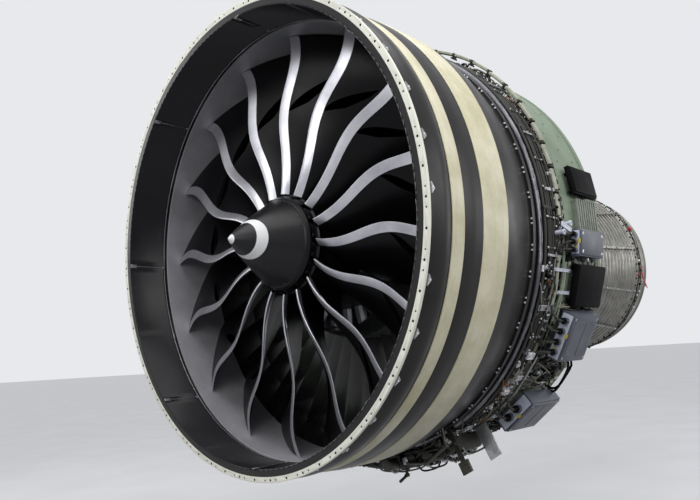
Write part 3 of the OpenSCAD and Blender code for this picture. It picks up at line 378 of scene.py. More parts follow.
def makeBandWrap():
    # Aramid wrap under clear resin: cream, with fine turns round the case and darker resin clouds
    look = {"colour": "#DCD7BE", "second": "#BFB998", "turn": 9.0, "patch": 300, "along": (0.02, 1.0, 0.02)}
    wrap, place = newMaterial("creamAramidWrap")
    haze = addNode(wrap, "TexNoise", {"Scale": perMetre(look["patch"]), "Detail": 6, "Roughness": 0.65},
                   {"Vector": place})
    drawnOut = addNode(wrap, "Mapping", {"Scale": look["along"]}, {"Vector": place})
    turns = addNode(wrap, "TexNoise", {"Scale": perMetre(look["turn"]), "Detail": 2}, {"Vector": drawnOut})
    blend = addNode(wrap, "Math", {1: 0.35}, {0: turns, 2: haze}, {"operation": "MULTIPLY_ADD"})
    tone = addNode(wrap, "ValToRGB", (), {"Fac": blend}, (), ((0.52, look["colour"]), (0.86, look["second"])))
    return closeFinish(wrap, tone, haze, (0.42, 0.58), turns, 0.2, 0.6)


finishes["spinnerEnamel"] = makeSpinnerPaint()
finishes["perforatedFacing"] = makePanelFacing()
finishes["creamAramidWrap"] = makeBandWrap()
print("materials made:", len(finishes))

# Camera

cameraPlace = {"at": (4.3555, -3.1623, -0.9152), "right": (0.76995, 0.63556, -0.05696),
               "up": (0.07422, -0.00055, 0.99724), "back": (0.63377, -0.77205, -0.04759),
               "shift": (-0.1146, 0.0982), "lens": 36, "clip": (0.05, 200)}
clearSelection()
bpy.ops.object.camera_add()
camera = bpy.context.active_object
camera.name = "photoCamera"
sides = Matrix([cameraPlace[side] for side in ("right", "up", "back")]).transposed()
camera.matrix_world = Matrix.Translation(cameraPlace["at"]) @ sides.to_4x4()
camera.data.lens = camera.data.sensor_width = cameraPlace["lens"]
camera.data.shift_x, camera.data.shift_y = cameraPlace["shift"]
camera.data.clip_start, camera.data.clip_end = cameraPlace["clip"]
bpy.context.scene.camera = camera
print("camera set")

# Fan

fan = {"blades": 16, "phase": 55.4, "root": 0.460, "tip": 1.694, "rootStagger": 18, "tipStagger": 63,
       "rootChord": 0.460, "tipChord": 0.750, "rootThick": 0.048, "edgeThick": 0.012, "leastThick": 0.0012,
       "guard": 0.12, "guardLap": 0.0004, "foot": 0.385, "aroundBlade": 44, "alongBlade": 46, "aroundGuard": 16}


def halfShare(c):
    return 5 * (0.2969 * math.sqrt(c) - 0.126 * c - 0.3516 * c ** 2 + 0.2843 * c ** 3 - 0.1015 * c ** 4)


def sectionPoint(radius, c, side, grow=0.0):
    # A point of the blade's section on the cylinder of this radius: c along the chord, side +1 or -1.
    u = max(0.0, (radius - fan["root"]) / (fan["tip"] - fan["root"]))
    held = max(radius, fan["root"])
    chord = fan["rootChord"] + (fan["tipChord"] - fan["rootChord"]) * u ** 0.8
    stagger = math.radians(fan["rootStagger"] + (fan["tipStagger"] - fan["rootStagger"]) * u ** 0.6)
    thick = fan["edgeThick"] + (fan["rootThick"] - fan["edgeThick"]) * (1 - u) ** 1.6
    camber = 0.015 + 0.055 * (1 - u) ** 1.5
    lead = math.radians(10.7 - 2.1 * math.cos(math.radians(468 * u - 30)))
    station = 0.360 + 0.125 * u ** 1.5
    half = (0.0 if c <= 0 else max(fan["leastThick"], thick * halfShare(c))) + grow
    bow = camber * chord * 4 * c * (1 - c) + side * half
    across = held * math.sin(lead) - chord * c * math.sin(stagger) - bow * math.cos(stagger)
    along = station + chord * c * math.cos(stagger) - bow * math.sin(stagger)
    return Vector((math.sqrt(radius ** 2 - across ** 2), along, across))


def bladeSkin(u, v):
    # Round the body of the blade: from the guard along one side to the trailing edge and back.
    radius = fan["foot"] + (fan["tip"] - fan["foot"]) * v
    share = ((1 - math.cos(math.tau * u)) / 2) ** 0.85
    return sectionPoint(radius, fan["guard"] + (1 - fan["guard"]) * share, 1 if u < 0.5 else -1)


def guardSkin(u, v):
    # Round the metal guard, which laps the blade by a hair: from the joint over the nose and back.
    radius = fan["foot"] + 0.012 + (fan["tip"] - fan["foot"] - 0.012) * v
    return sectionPoint(radius, (fan["guard"] - 0.0015) * abs(1 - 2 * u) ** 2, 1 if u < 0.5 else -1, fan["guardLap"])


blade = wrapGrid(fan["aroundBlade"], fan["alongBlade"], bladeSkin)
guard = wrapGrid(fan["aroundGuard"], fan["alongBlade"], guardSkin)

# The foot under the platforms is cut from the CAD blade.
foot = cleanCopy("fan_blade_01", "bladeFoot")
foot.data.transform(spot(fan["phase"]).inverted())
editAll(foot)
bpy.ops.mesh.bisect(plane_co=(fan["foot"] - 0.002, 0, 0), plane_no=(1, 0, 0), clear_outer=True, use_fill=True)
leaveEdit()
blade = joinPieces([blade, foot])
turns = [spot(fan["phase"] + i * 360 / fan["blades"]) for i in range(fan["blades"])]
for index, turn in enumerate(turns, 1):
    one = copiesAt(blade, [turn], True, "bladeSkin%02d" % index)
    finishPiece(one, "low_spool", "coatedCarbonBlade", ["fan_blade_%02d" % index], 40)
bpy.data.objects.remove(blade)
guards = copiesAt(guard, turns, name="bladeGuards")
finishPiece(guards, "low_spool", "brushedTitaniumGuard", ["blade_edge_guards"], 50)
print("fan blades made")

cone = {"tip": -0.140, "base": 0.300, "radius": 0.340, "rings": 40}
coneLength = cone["base"] - cone["tip"]
outside = [(cone["radius"] * (i / cone["rings"]) ** 0.86, cone["tip"] + coneLength * i / cone["rings"])
           for i in range(1, cone["rings"] + 1)]
inside = [(r - 0.009, y) for r, y in outside[::-1] if r > 0.03 and y < 0.29]
profile = [(0.0, cone["tip"] + 0.001), (0.004, cone["tip"] + 0.0015)] + outside \
    + [(0.250, 0.300), (0.250, 0.292), (0.318, 0.292)] + inside + [(0.0, cone["tip"] + 0.024)]
finishPiece(turnProfile(profile, 128, "spinnerCone"), "low_spool", "spinnerEnamel", ["spinner"], 40)
finishPiece(cleanCopy("spinner_rear_ring", "spinnerRing"), "low_spool", "blackEnamel",
            ["spinner_rear_ring"], 35)

# Small bolts in scallops where the cone meets its ring
coneBolts = {"count": 28, "first": 3, "radius": 0.3335, "station": 0.2905, "head": 0.0052, "tall": 0.007}
clearSelection()
bpy.ops.mesh.primitive_cylinder_add(vertices=12, radius=coneBolts["head"], depth=coneBolts["tall"])
bolt = bpy.context.active_object
bolt.data.transform(turned(90, "Y"))
editAll(bolt)
bpy.ops.mesh.bevel(offset=0.0012, segments=2, affect="EDGES")
leaveEdit()
boltTurns = [i * 360 / coneBolts["count"] + coneBolts["first"] for i in range(coneBolts["count"])]
heads = copiesAt(bolt, [spot(turn, coneBolts["radius"], coneBolts["station"]) for turn in boltTurns],
                 name="coneBoltHeads")
finishPiece(heads, "low_spool", "darkPlate", (), 40)
finishPiece(cleanCopy("blade_platforms", "platformSkins"), "low_spool", "blackEnamel",
            ["blade_platforms"], 35)
print("spinner and platforms made")

# Fan case

case = {"inner": 1.714, "flangeInner": 1.757, "bulge": 0.035, "bandSeat": 1.786, "aftSeat": 1.798, "bandY": 0.237,
        "bandWidth": 0.126, "bandHeight": 0.009, "aftY": 0.550, "aftWidth": 0.292, "aftHeight": 0.0097,
        "length": 1.282, "steps": 240}


def caseOutline():
    lip = case["flangeInner"] + 0.009
    bandEnd = case["bandY"] + case["bandWidth"]
    aftEnd = case["aftY"] + case["aftWidth"]
    wall = case["inner"] + 0.013
    points = [(case["inner"], 0.0), (case["flangeInner"] - 0.0005, 0.0), (case["flangeInner"], 0.020), (lip, 0.020),
              (lip, 0.048)]
    points += [(lip + case["bulge"] * math.sin(math.radians(i * 8)) ** 1.2, 0.052 + 0.0105 * i) for i in range(17)]
    # A thin raised edge before the forward band catches the light.
    points += [(case["bandSeat"] + 0.001, case["bandY"] - 0.012), (case["bandSeat"], case["bandY"] - 0.008),
               (case["bandSeat"], bandEnd + 0.008)]
    points += [(case["bandSeat"] + 0.002 + 0.014 * math.sin(math.radians(i / 8 * 90)), bandEnd + 0.012 + 0.110 * i / 8)
               for i in range(9)]
    points += [(case["aftSeat"] + 0.005, case["aftY"] - 0.004), (case["aftSeat"], case["aftY"] - 0.004),
               (case["aftSeat"], aftEnd + 0.004), (case["aftSeat"] + 0.004, aftEnd + 0.004)]
    points += [(wall + 0.074 * math.cos(math.radians(i / 14 * 90)) ** 1.15, 0.880 + (case["length"] - 0.932) * i / 14)
               for i in range(15)]
    points += [(wall, case["length"] - 0.020), (1.743, case["length"] - 0.020), (1.745, case["length"] - 0.018),
               (1.745, case["length"]), (case["inner"], case["length"])]
    return points


def bandProfile(seat, height, start, width):
    # A crowned strip with soft shoulders
    front = [(seat, start), (seat + height * 0.55, start), (seat + height * 0.9, start + 0.003),
             (seat + height, start + 0.009)]
    return front + [(radius, 2 * start + width - station) for radius, station in front[::-1]]


finishPiece(turnProfile(caseOutline(), case["steps"], "caseSkin"), "engine_carcass", "charcoalComposite",
            ["fan_case"], 28)
bands = [turnProfile(bandProfile(*(case[band + size] for size in ("Seat", "Height", "Y", "Width"))), case["steps"])
         for band in ("band", "aft")]
finishPiece(joinPieces(bands, "wrapBands"), "engine_carcass", "creamAramidWrap", ["wrap_bands"], 40)
finishPiece(cleanCopy("inlet_flange_ring", "inletFlange", 0.0012), "engine_carcass", "whiteEnamelRing",
            ["inlet_flange_ring"], 30)

# The panels' joints fall where the photograph has them, half a panel on from the CAD ring's.
panels = cleanCopy("inlet_liner_panels", "linerPanels")
panels.data.transform(turned(-22.5, "Y"))
finishPiece(panels, "engine_carcass", "perforatedFacing", ["inlet_liner_panels"], 30)

shroud = turnProfile([(1.700, 0.366), (1.7008, 0.362), (1.704, 0.360), (1.714, 0.360), (1.714, 0.905), (1.700, 0.905)],
                     case["steps"], "shroudFacing")
finishPiece(shroud, "engine_carcass", "sandedFiller", ["abradable_shroud"], 30)

# Bright bead between the panels and the shroud
bead = turnProfile([(1.6995, 0.3225), (1.6985, 0.3245), (1.6985, 0.3275), (1.6995, 0.3295), (1.712, 0.3295),
                    (1.712, 0.3225)], case["steps"], "shroudBead")
finishPiece(bead, "engine_carcass", "zincPlate", (), 40)

# Pale covers over the panel joints: station, depth, length and width of each strip
joints = {"first": 44.5, "pitch": 45, "radius": 1.7003,
          "strips": ((0.029, 0.0035, 0.055, 0.030), (0.185, 0.0012, 0.250, 0.004), (0.311, 0.0035, 0.018, 0.020))}
covers = []
for station, depth, length, width in joints["strips"]:
    clearSelection()
    bpy.ops.mesh.primitive_cube_add(size=1)
    cover = bpy.context.active_object
    cover.data.transform(scaled(depth, length, width))
    softenEdges(cover, depth * 0.3)
    covers.append(copiesAt(cover, [spot(i * joints["pitch"] + joints["first"], joints["radius"], station)
                                   for i in range(8)]))
finishPiece(joinPieces(covers, "jointCovers"), "engine_carcass", "zincPlate", (), 40)
print("fan case made")

# Frame, ring, barrel and core: node, name, finish, slot and width of the rounded edges

for node, name, finish, slotName, edge in [
        ("aft_case_liner", "aftLiner", "perforatedFacing", "liner_dark", 0.0),
        ("frame_outer_ring", "frameRing", "charcoalComposite", "case_dark", 0.0015),
        ("polished_ring", "polishedRing", "blackOxideRing", "ring_bright", 0.0),
        ("flange_bolts", "flangeBoltHeads", "brightZinc", "ring_bright", 0.0012),
        ("outlet_guide_vanes", "guideVanes", "blackEnamel", "liner_dark", 0.003),
        ("fan_hub_frame", "hubFrame", "blastedCasting", "frame_alloy", 0.0),
        ("splitter_nose", "splitterNose", "milledAlloy", "frame_alloy", 0.0),
        ("booster_rotor", "boosterRotor", "milledAlloy", "rotor_alloy", 0.0),
        ("booster_case", "boosterCase", "milledAlloy", "frame_alloy", 0.0),
        ("turbine_rear_frame", "turbineRearFrame", "heatTintedNickel", "hot_alloy", 0.0015),
        ("low_turbine_case", "turbineCase", "heatTintedNickel", "hot_alloy", 0.001),
        ("rear_plug", "rearPlug", "scorchedNickel", "hot_alloy", 0.0),
        ("aft_barrel", "greenBarrel", "greenPrimer", "barrel_green", 0.0012),
        ("clearance_tubes", "clearanceTubes", "heatTintedNickel", "hot_alloy", 0.0),
        ("core_compressor_case", "compressorCase", "blastedCasting", "frame_alloy", 0.0),
        ("combustor_case", "combustorCase", "scorchedNickel", "hot_alloy", 0.0),
        ("turbine_center_frame", "centreFrame", "heatTintedNickel", "hot_alloy", 0.0),
        ("unison_rings", "unisonRings", "drawnTube", "pipe_steel", 0.001),
        ("fuel_nozzles", "fuelNozzles", "drawnTube", "pipe_steel", 0.0),
        ("accessory_gearbox", "gearboxHousing", "darkCasting", "frame_alloy", 0.004),
        ("gearbox_units", "gearboxUnits", "darkPlate", "frame_alloy", 0.003),
        ("engine_mounts", "engineMounts", "blastedCasting", "frame_alloy", 0.003),
        ("control_units", "controlUnits", "blueGreyEnamel", "unit_blue", 0.003),
        ("harness_ring", "harnessHoops", "braidedSleeve", "harness_olive", 0.0)]:
    body = next(title for title, members in frame["record"]["behaviour"]["bodies"].items() if node in members)
    finishPiece(cleanCopy(node, name, edge), body, finish, [node], 32)


def splitByTurn(node, name, edge, first, last):
    # The loose parts of a CAD node, as two pieces: those whose middle lies between the two angles, and the rest.
    pick(cleanCopy(node, name, edge))
    bpy.ops.object.mode_set(mode="EDIT")
    bpy.ops.mesh.separate(type="LOOSE")
    leaveEdit()
    inner, rest = [], []
    for part in list(bpy.context.selected_objects):
        middle = sum((vertex.co for vertex in part.data.vertices), Vector()) / len(part.data.vertices)
        turn = math.degrees(math.atan2(middle.z, middle.x))
        (inner if first < turn < last else rest).append(part)
    return joinPieces(inner, name + "Apart"), joinPieces(rest, name)


# The finned cooler is olive paint and the covers beside it are rubber.
cooler, rubber = splitByTurn("equipment_covers", "blackCovers", 0.004, -1, 8)
finishPiece(rubber, "engine_carcass", "blackSilicone", ["equipment_covers"], 32)
finishPiece(cooler, "engine_carcass", "olivePaint", (), 32)
# The fin is pale sheet, and the pipes and the plate are dark.
fin, pipes = splitByTurn("service_pipes", "servicePipes", 0.0015, -60.5, -58)
finishPiece(pipes, "engine_carcass", "darkPlate", ["service_pipes"], 32)
finishPiece(fin, "engine_carcass", "zincPlate", (), 32)
print("frame, barrel and core made")

# Inner CAD nodes that stay as they are get their own finish.
innerFinish = {"fan_disk": "milledAlloy", "low_shaft": "milledAlloy", "low_turbine_rotor": "heatTintedNickel",
               "core_compressor_rotor": "milledAlloy", "core_turbine_rotor": "heatTintedNickel",
               "radial_drive_shaft": "milledAlloy", "stator_vanes": "milledAlloy",
               "combustor_liner": "scorchedNickel", "main_bearings": "polishedStainless"}
for node, finish in innerFinish.items():
    materials = frame["nodes"][node].data.materials
    materials.clear()
    materials.append(finishes[finish])

# Small fittings that repeat all over the frame and the barrel

chance = random.Random(7)
between = chance.uniform
store = {}


def keepFor(finish, piece):
    store.setdefault(finish, []).append(piece)


def spread(source, places, finish=None):
    # Copies of one fitting: a list of places for one finish, or a list for each finish. The source is used up.
    for title, group in ({finish: places} if finish else places).items():
        keepFor(title, copiesAt(source, group, True))
    bpy.data.objects.remove(source)


def layHose(finish, thick, sides, *points):
    # A tube through points that are given as radius, angle and station
    keepFor(finish, layTube([polar(*point) for point in points], thick, sides))


def anyTurn(*spans):
    # An angle from one of the spans
    return chance.choice([between(*span) for span in spans])


def tilt(limit, axis="X"):
    return Matrix.Rotation(between(-limit, limit), 4, axis)


def pressOuterFace(piece, rim, depth):
    pick(piece)
    bpy.ops.object.mode_set(mode="EDIT")
    bpy.ops.mesh.select_mode(type="FACE")
    bpy.ops.mesh.select_all(action="DESELECT")
    leaveEdit()
    for face in piece.data.polygons:
        face.select = face.normal.x > 0.9
    bpy.ops.object.mode_set(mode="EDIT")
    bpy.ops.mesh.inset(thickness=rim, depth=-depth)
    leaveEdit()


def formedBlock(depth, length, width, edge=0.0015, recess=0.0, segments=1):
    # A block with rounded edges, outer face on +X; its recess is pressed into that face.
    clearSelection()
    bpy.ops.mesh.primitive_cube_add(size=1)
    block = bpy.context.active_object
    block.data.transform(moved(depth / 2, 0, 0) @ scaled(depth, length, width))
    if recess > 0:
        pressOuterFace(block, min(length, width) * 0.18, recess)
    softenEdges(block, edge, segments)
    return block


def placedBlock(finish, place, *sizes):
    block = formedBlock(*sizes)
    block.data.transform(place)
    keepFor(finish, block)


def pointOut(piece):
    # Turns a lathe piece so that its axis points outwards.
    piece.data.transform(turned(-90, "Z"))
    return piece


def hexBolt(radius, height):
    washer = turnProfile([(0, 0), (radius * 1.45, 0), (radius * 1.45, height * 0.2), (0, height * 0.2)], 12)
    head = turnProfile([(0, height * 0.2), (radius, height * 0.2), (radius, height * 0.85), (radius * 0.8, height),
                        (0, height)], 6)
    return pointOut(joinPieces([washer, head]))


def plugBody(r, length):
    # A round connector along Y: shell, coupling ring and back shell.
    shares = ((0, 0), (1, 0), (1, 0.3), (1.15, 0.32), (1.15, 0.55), (0.85, 0.6), (0.8, 0.8), (0.5, 1), (0, 1))
    return turnProfile([(r * across, length * along) for across, along in shares], 16)


def arcStrip(a0, a1, radius, station, height, width):
    # A padded strip that follows the ring: a soft rectangle swept from one angle to the other.
    def skin(u, v):
        c, s = math.cos(u * math.tau), math.sin(u * math.tau)
        bulk = (abs(c) ** 4 + abs(s) ** 4) ** -0.25
        return polar(radius + height / 2 * s * bulk, a0 + (a1 - a0) * v, station + width / 2 * c * bulk)
    return wrapGrid(12, 6, skin)


def ringRun(a0, a1, station, radius, thick, wobble, step, sides=8):
    # A line that runs round the frame, with the small waves of a hand laid line.
    count = max(4, int(abs(a1 - a0) / step))
    phase = between(0, 6)
    points = []
    for i in range(count + 1):
        a = a0 + (a1 - a0) * i / count
        swing = math.sin(math.radians(a) * 15 + phase) + 0.5 * math.sin(math.radians(a) * 33 + phase * 2)
        points.append(polar(radius + wobble * 0.4 * swing, a, station + wobble * swing))
    return layTube(points, thick, sides)


# Lines: station, radius, thickness and finish
harness = {"lines": ((1.452, 1.764, 0.008, "braidedSleeve"), (1.500, 1.765, 0.007, "braidedSleeve"),
                     (1.524, 1.770, 0.0055, "darkPlate"), (1.584, 1.762, 0.009, "braidedSleeve"),
                     (1.612, 1.764, 0.006, "drawnTube"), (1.632, 1.760, 0.008, "paleSleeve")),
           "wave": 0.006, "step": 3.2, "clips": 48, "first": 1.5, "clipAt": (1.7735, 1.485),
           "bolts": (1.420, 1.515, 1.560), "boltSeat": 1.7760, "saddles": 96, "saddleSeat": 1.752}
for station, radius, thick, finish in harness["lines"]:
    for start in (0, 120, 240):
        keepFor(finish, ringRun(start + 2, start + 121, station, radius, thick, harness["wave"], harness["step"]))
clipTurns = [i * 360 / harness["clips"] + harness["first"] for i in range(harness["clips"])]
spread(formedBlock(0.003, 0.170, 0.014, 0.001), [spot(turn, *harness["clipAt"]) for turn in clipTurns], "darkPlate")
smallBolt = hexBolt(0.0058, 0.009)
boltSpots = [spot(turn, harness["boltSeat"], y) for turn in clipTurns for y in harness["bolts"]]
keepFor("zincPlate", copiesAt(smallBolt, boltSpots, True))
saddle = joinPieces([formedBlock(0.022, 0.026, 0.018, 0.002), formedBlock(0.006, 0.044, 0.012, 0.001)])
spread(saddle, [spot(i * 360 / harness["saddles"] + between(-0.6, 0.6), harness["saddleSeat"],
                     1.584 + chance.choice((0, 0.028, 0.046))) for i in range(harness["saddles"])], "darkPlate")

# Pale padded raceway along the barrel's front edge, in lengths between dark clamps. It stands off more as it climbs.
raceway = {"station": 1.596, "radius": 1.780, "climb": 0.0011, "height": 0.026, "width": 0.052, "pitch": 6.6,
           "length": 5.4, "first": 2.2, "count": 22, "clampDepth": 0.036}
strips, clampSpots = [], []
for i in range(raceway["count"]):
    start = raceway["first"] + i * raceway["pitch"]
    high = raceway["radius"] + raceway["climb"] * min(start, 50)
    strips.append(arcStrip(start, start + raceway["length"], high, raceway["station"] + (0.003 if i % 2 else -0.003),
                           raceway["height"], raceway["width"]))
    clampSpots.append(spot(start - 0.6, high - raceway["clampDepth"], raceway["station"]))
keepFor("oliveSleeve", joinPieces(strips))
clamp = joinPieces([formedBlock(0.050, 0.052, 0.012, 0.002), formedBlock(0.012, 0.070, 0.022, 0.002)])
spread(clamp, clampSpots, "darkPlate")

# Dark nut plates in a row on a pale bead, at the barrel's front edge
edgeRow = {"count": 160, "station": 1.657, "radius": 1.7825}
spread(formedBlock(0.006, 0.011, 0.036, 0.0012),
       [spot(i * 360 / edgeRow["count"], edgeRow["radius"], edgeRow["station"]) for i in range(edgeRow["count"])],
       "blackSilicone")
keepFor("paleSleeve", turnProfile([(1.7815, 1.6475), (1.7840, 1.6500), (1.7840, 1.6640), (1.7815, 1.6665)], 200))

# Rivets and dark plugs in rows round the barrel (station, pitch and first angle), and two lines at its rear rim
barrel = {"front": 1.667, "rear": 2.290, "frontRadius": 1.778, "rearRadius": 1.747, "seat": 0.0002,
          "rivets": ((1.700, 3.0, 0), (1.722, 3.0, 1.5), (2.272, 2.4, 0), (1.990, 6.0, 0.5)),
          "plugs": ((1.80, 0), (1.93, 4.5), (2.12, 2.0)), "plugSize": (1.4, 1.6, 1.6), "rims": (2.236, 2.262)}


def barrelRadius(station):
    share = (station - barrel["front"]) / (barrel["rear"] - barrel["front"])
    return barrel["frontRadius"] + (barrel["rearRadius"] - barrel["frontRadius"]) * share


def onBarrel(angle, station, depth):
    return spot(angle, barrelRadius(station) - depth, station)


rivet = pointOut(turnProfile([(0, 0), (0.0055, 0), (0.0045, 0.0016), (0.002, 0.0024), (0, 0.0026)], 8))
rivetSpots = [onBarrel(i * pitch + shift, station, barrel["seat"]) for station, pitch, shift in barrel["rivets"]
              for i in range(int(360 / pitch))]
keepFor("greenPrimer", copiesAt(rivet, rivetSpots, True))
spread(rivet, [onBarrel(i * 9 + shift, station, barrel["seat"]) @ scaled(*barrel["plugSize"])
               for i in range(40) for station, shift in barrel["plugs"]], "darkPlate")
for station in barrel["rims"]:
    low, top = barrelRadius(station) - 0.001, barrelRadius(station) + 0.0008
    keepFor("darkPlate", turnProfile([(low, station - 0.004), (top, station - 0.003), (top, station + 0.003),
                                      (low, station + 0.004)], 200))
print("harness and barrel fittings made")

# Blue grey control units: connector faces in the paler enamel, which is painted light, plugs and their cables
units = [{"turn": -4.2, "face": 1.700, "foot": 1.815, "top": 1.905, "width": 0.210, "reach": 1.860,
          "plugs": (-0.060, 0.0, 0.060), "plug": 0.018, "end": 2.080},
         {"turn": -27, "face": 1.700, "foot": 1.815, "top": 1.935, "width": 0.400, "reach": 1.875,
          "plugs": (-0.132, -0.044, 0.044, 0.132), "plug": 0.022, "end": 2.110},
         {"turn": -50.5, "face": 1.710, "foot": 1.815, "top": 1.945, "width": 0.370, "reach": 1.880,
          "plugs": (-0.055, 0.055), "plug": 0.028, "end": 2.160}]
for unit in units:
    here = spot(unit["turn"])
    top, face, width, end = unit["top"], unit["face"], unit["width"], unit["end"]
    # The connector face is the housings' enamel painted paler: painted light on a face that little lamp light reaches
    placedBlock("lilacEnamelAndPaintedLight", here @ moved(unit["foot"] + 0.012, face - 0.0021, 0),
                top - unit["foot"] - 0.030, 0.004, width - 0.030, 0.0015)
    for side in unit["plugs"]:
        plug = plugBody(unit["plug"], 0.046)
        plug.data.transform(here @ moved(unit["reach"], face - 0.033, side) @ turned(180, "Z"))
        keepFor("blackSilicone", plug)
        start = Vector((unit["reach"], face - 0.076, side))
        drift = between(-0.05, 0.05)
        path = [(0, 0, 0), (0, -0.030, 0), (-0.030, -0.062, drift * 0.4), (-0.070, -0.078, drift),
                (-0.098, -0.060, drift * 2.2)]
        keepFor("braidedSleeve", layTube([here @ (start + Vector(step)) for step in path], unit["plug"] * 0.42))
    corners = [here @ moved(top - 0.0002, y, z * (width / 2 - 0.035)) @ scaled(0.15, 1.3, 1.3)
               for y in (face + 0.030, end - 0.030) for z in (-1, 1)]
    keepFor("zincPlate", copiesAt(smallBolt, corners, True))
    # Plain yellow tags where the face meets the lid
    tagSpots = [here @ moved(top - 0.016 - 0.030 * n, face - 0.0042, width * (0.05 - 0.16 * n)) @ turned(-90, "Z")
                for n in range(3)]
    spread(formedBlock(0.0012, 0.024, 0.034, 0.0004), tagSpots, "yellowVinyl")
    if width > 0.3:
        for share in (0.28, 0.72):
            placedBlock("blueGreyEnamel", here @ moved(top - 0.0006, face + (end - face) * share, 0),
                        0.003, (end - face) * 0.36, width * 0.74, 0.0012, 0.0008)
print("control unit fittings made")

# Brackets and bars between the units, each at its place in the photograph: angle, both ends, radius, depth,
# width and finish
bars = [(-11.1, 1.50, 1.735, 1.792, 0.014, 0.026, "lilacEnamelAndPaintedLight"),
        (-16.6, 1.585, 1.800, 1.792, 0.014, 0.026, "lilacEnamelAndPaintedLight"),
        (-20.8, 1.405, 1.640, 1.770, 0.012, 0.045, "zincPlate"), (-38.5, 1.47, 1.66, 1.775, 0.012, 0.030, "zincPlate"),
        (-44.0, 1.43, 1.66, 1.775, 0.010, 0.022, "zincPlate"), (8.5, 1.44, 1.66, 1.775, 0.010, 0.020, "zincPlate"),
        (-7.8, 1.42, 1.66, 1.775, 0.008, 0.018, "zincPlate"), (-62.0, 1.36, 1.60, 1.775, 0.012, 0.050, "zincPlate"),
        (24.0, 1.44, 1.66, 1.775, 0.010, 0.020, "zincPlate"), (42.0, 1.44, 1.66, 1.775, 0.010, 0.020, "zincPlate"),
        (-33.4, 1.47, 1.56, 1.785, 0.020, 0.060, "brightZinc"), (-40.1, 1.48, 1.56, 1.785, 0.018, 0.050, "zincPlate"),
        (-44.9, 1.44, 1.52, 1.785, 0.018, 0.044, "brightZinc"), (-59.3, 1.40, 1.475, 1.79, 0.018, 0.060, "zincPlate"),
        (-64.6, 1.345, 1.42, 1.94, 0.014, 0.090, "brightZinc"), (-69.0, 1.36, 1.41, 1.94, 0.014, 0.040, "brightZinc"),
        (-55.0, 1.63, 1.70, 1.790, 0.014, 0.040, "brightZinc"), (-74.0, 1.350, 1.400, 1.935, 0.012, 0.036, "zincPlate")]
for angle, y0, y1, radius, depth, width, finish in bars:
    placedBlock(finish, spot(angle, radius, (y0 + y1) / 2), depth, y1 - y0, width, 0.002, 0.0015)
    keepFor("zincPlate", copiesAt(smallBolt, [spot(angle, radius + depth, y) for y in (y0 + 0.018, y1 - 0.018)], True))

# Conduits: both angles, station, radius, thickness and finish
conduits = [(-6.5, -24, 1.640, 1.792, 0.011, "greenPrimer"), (-8.0, -20, 1.560, 1.790, 0.013, "oliveSleeve"),
            (-7.0, -22, 1.530, 1.782, 0.008, "drawnTube"), (-9.0, -23, 1.672, 1.796, 0.009, "oliveSleeve"),
            (-36, -62, 1.600, 1.788, 0.012, "braidedSleeve"), (-34, -60, 1.640, 1.790, 0.009, "drawnTube"),
            (-30, -64, 1.560, 1.784, 0.010, "paleSleeve"), (4, 30, 1.540, 1.782, 0.009, "braidedSleeve")]
for a0, a1, station, radius, thick, finish in conduits:
    keepFor(finish, ringRun(a0, a1, station, radius, thick, 0.005, 2.2))

# Pale lever with bosses beside the first unit
placedBlock("lilacEnamelAndPaintedLight", spot(-0.9, 1.836, 1.585) @ turned(-16, "X"), 0.014, 0.150, 0.040, 0.003, 0.003, 2)
for turn, station in ((-2.2, 1.530), (0.2, 1.640)):
    boss = pointOut(turnProfile([(0, 0), (0.017, 0), (0.017, 0.058), (0.022, 0.060), (0.022, 0.072), (0.010, 0.074),
                                 (0.008, 0.066), (0, 0.066)], 16))
    boss.data.transform(spot(turn, 1.782, station))
    keepFor("lilacEnamelAndPaintedLight", boss)

# White nylon blocks and studs behind the polished ring
spread(formedBlock(0.016, 0.016, 0.050, 0.002, 0.001), [spot(-11.2, 1.7605, 1.380), spot(-53.5, 1.765, 1.600)],
       "whiteNylon")
spread(hexBolt(0.010, 0.018), [spot(a, 1.7215, 1.384) for a in (-15.3, 12, 34, -36, *range(58, 279, 22))], "whiteNylon")

# Tabs with a bolt behind the inlet flange
tabs = {"pitch": 10.7, "first": 1.9, "count": 33, "base": 0.074, "reach": 0.044, "seat": 1.776, "station": 0.0575,
        "high": 0.019, "rise": 13}


def triangleTab(base, reach, high):
    # A gusset that points aft, with its face pressed in: a three-sided plate from a round one.
    clearSelection()
    bpy.ops.mesh.primitive_cylinder_add(vertices=3, radius=1, depth=1)
    plate = bpy.context.active_object
    corners = [(-reach / 2, -base / 2), (-reach / 2, base / 2), (reach / 2, 0)]
    around = sorted({(round(v.co.x, 3), round(v.co.y, 3)) for v in plate.data.vertices})
    for vertex in plate.data.vertices:
        y, z = corners[around.index((round(vertex.co.x, 3), round(vertex.co.y, 3)))]
        vertex.co = (high if vertex.co.z > 0 else 0, y, z)
    tidyMesh(plate)
    pressOuterFace(plate, 0.006, 0.003)
    softenEdges(plate, 0.0008, 1)
    return plate


tabSpots = [spot(i * tabs["pitch"] + tabs["first"], tabs["seat"], tabs["station"]) @ turned(tabs["rise"], "Z")
            for i in range(tabs["count"])]
spread(triangleTab(tabs["base"], tabs["reach"], tabs["high"]), tabSpots, "zincPlate")
keepFor("brightZinc", copiesAt(smallBolt, [place @ moved(tabs["high"] - 0.004, -0.006, 0) for place in tabSpots], True))

# Dark captive nuts in the flange's holes, and smaller ones between them
captive = turnProfile([(0, 0), (0.0085, 0), (0.0085, 0.0007), (0.0045, 0.0007), (0.0035, 0.003), (0, 0.003)], 10)
flangeHoles = {"radius": 1.7802, "station": -0.0008, "count": 60, "small": 0.7}
nutSpots = [spot(i * 6, flangeHoles["radius"], flangeHoles["station"]) for i in range(flangeHoles["count"])]
nutSpots += [spot(i * 12 + side, flangeHoles["radius"], flangeHoles["station"])
             @ scaled(flangeHoles["small"], 1, flangeHoles["small"]) for i in range(30) for side in (-2, 2)]
spread(captive, nutSpots, "blackSilicone")
print("brackets and conduits made")

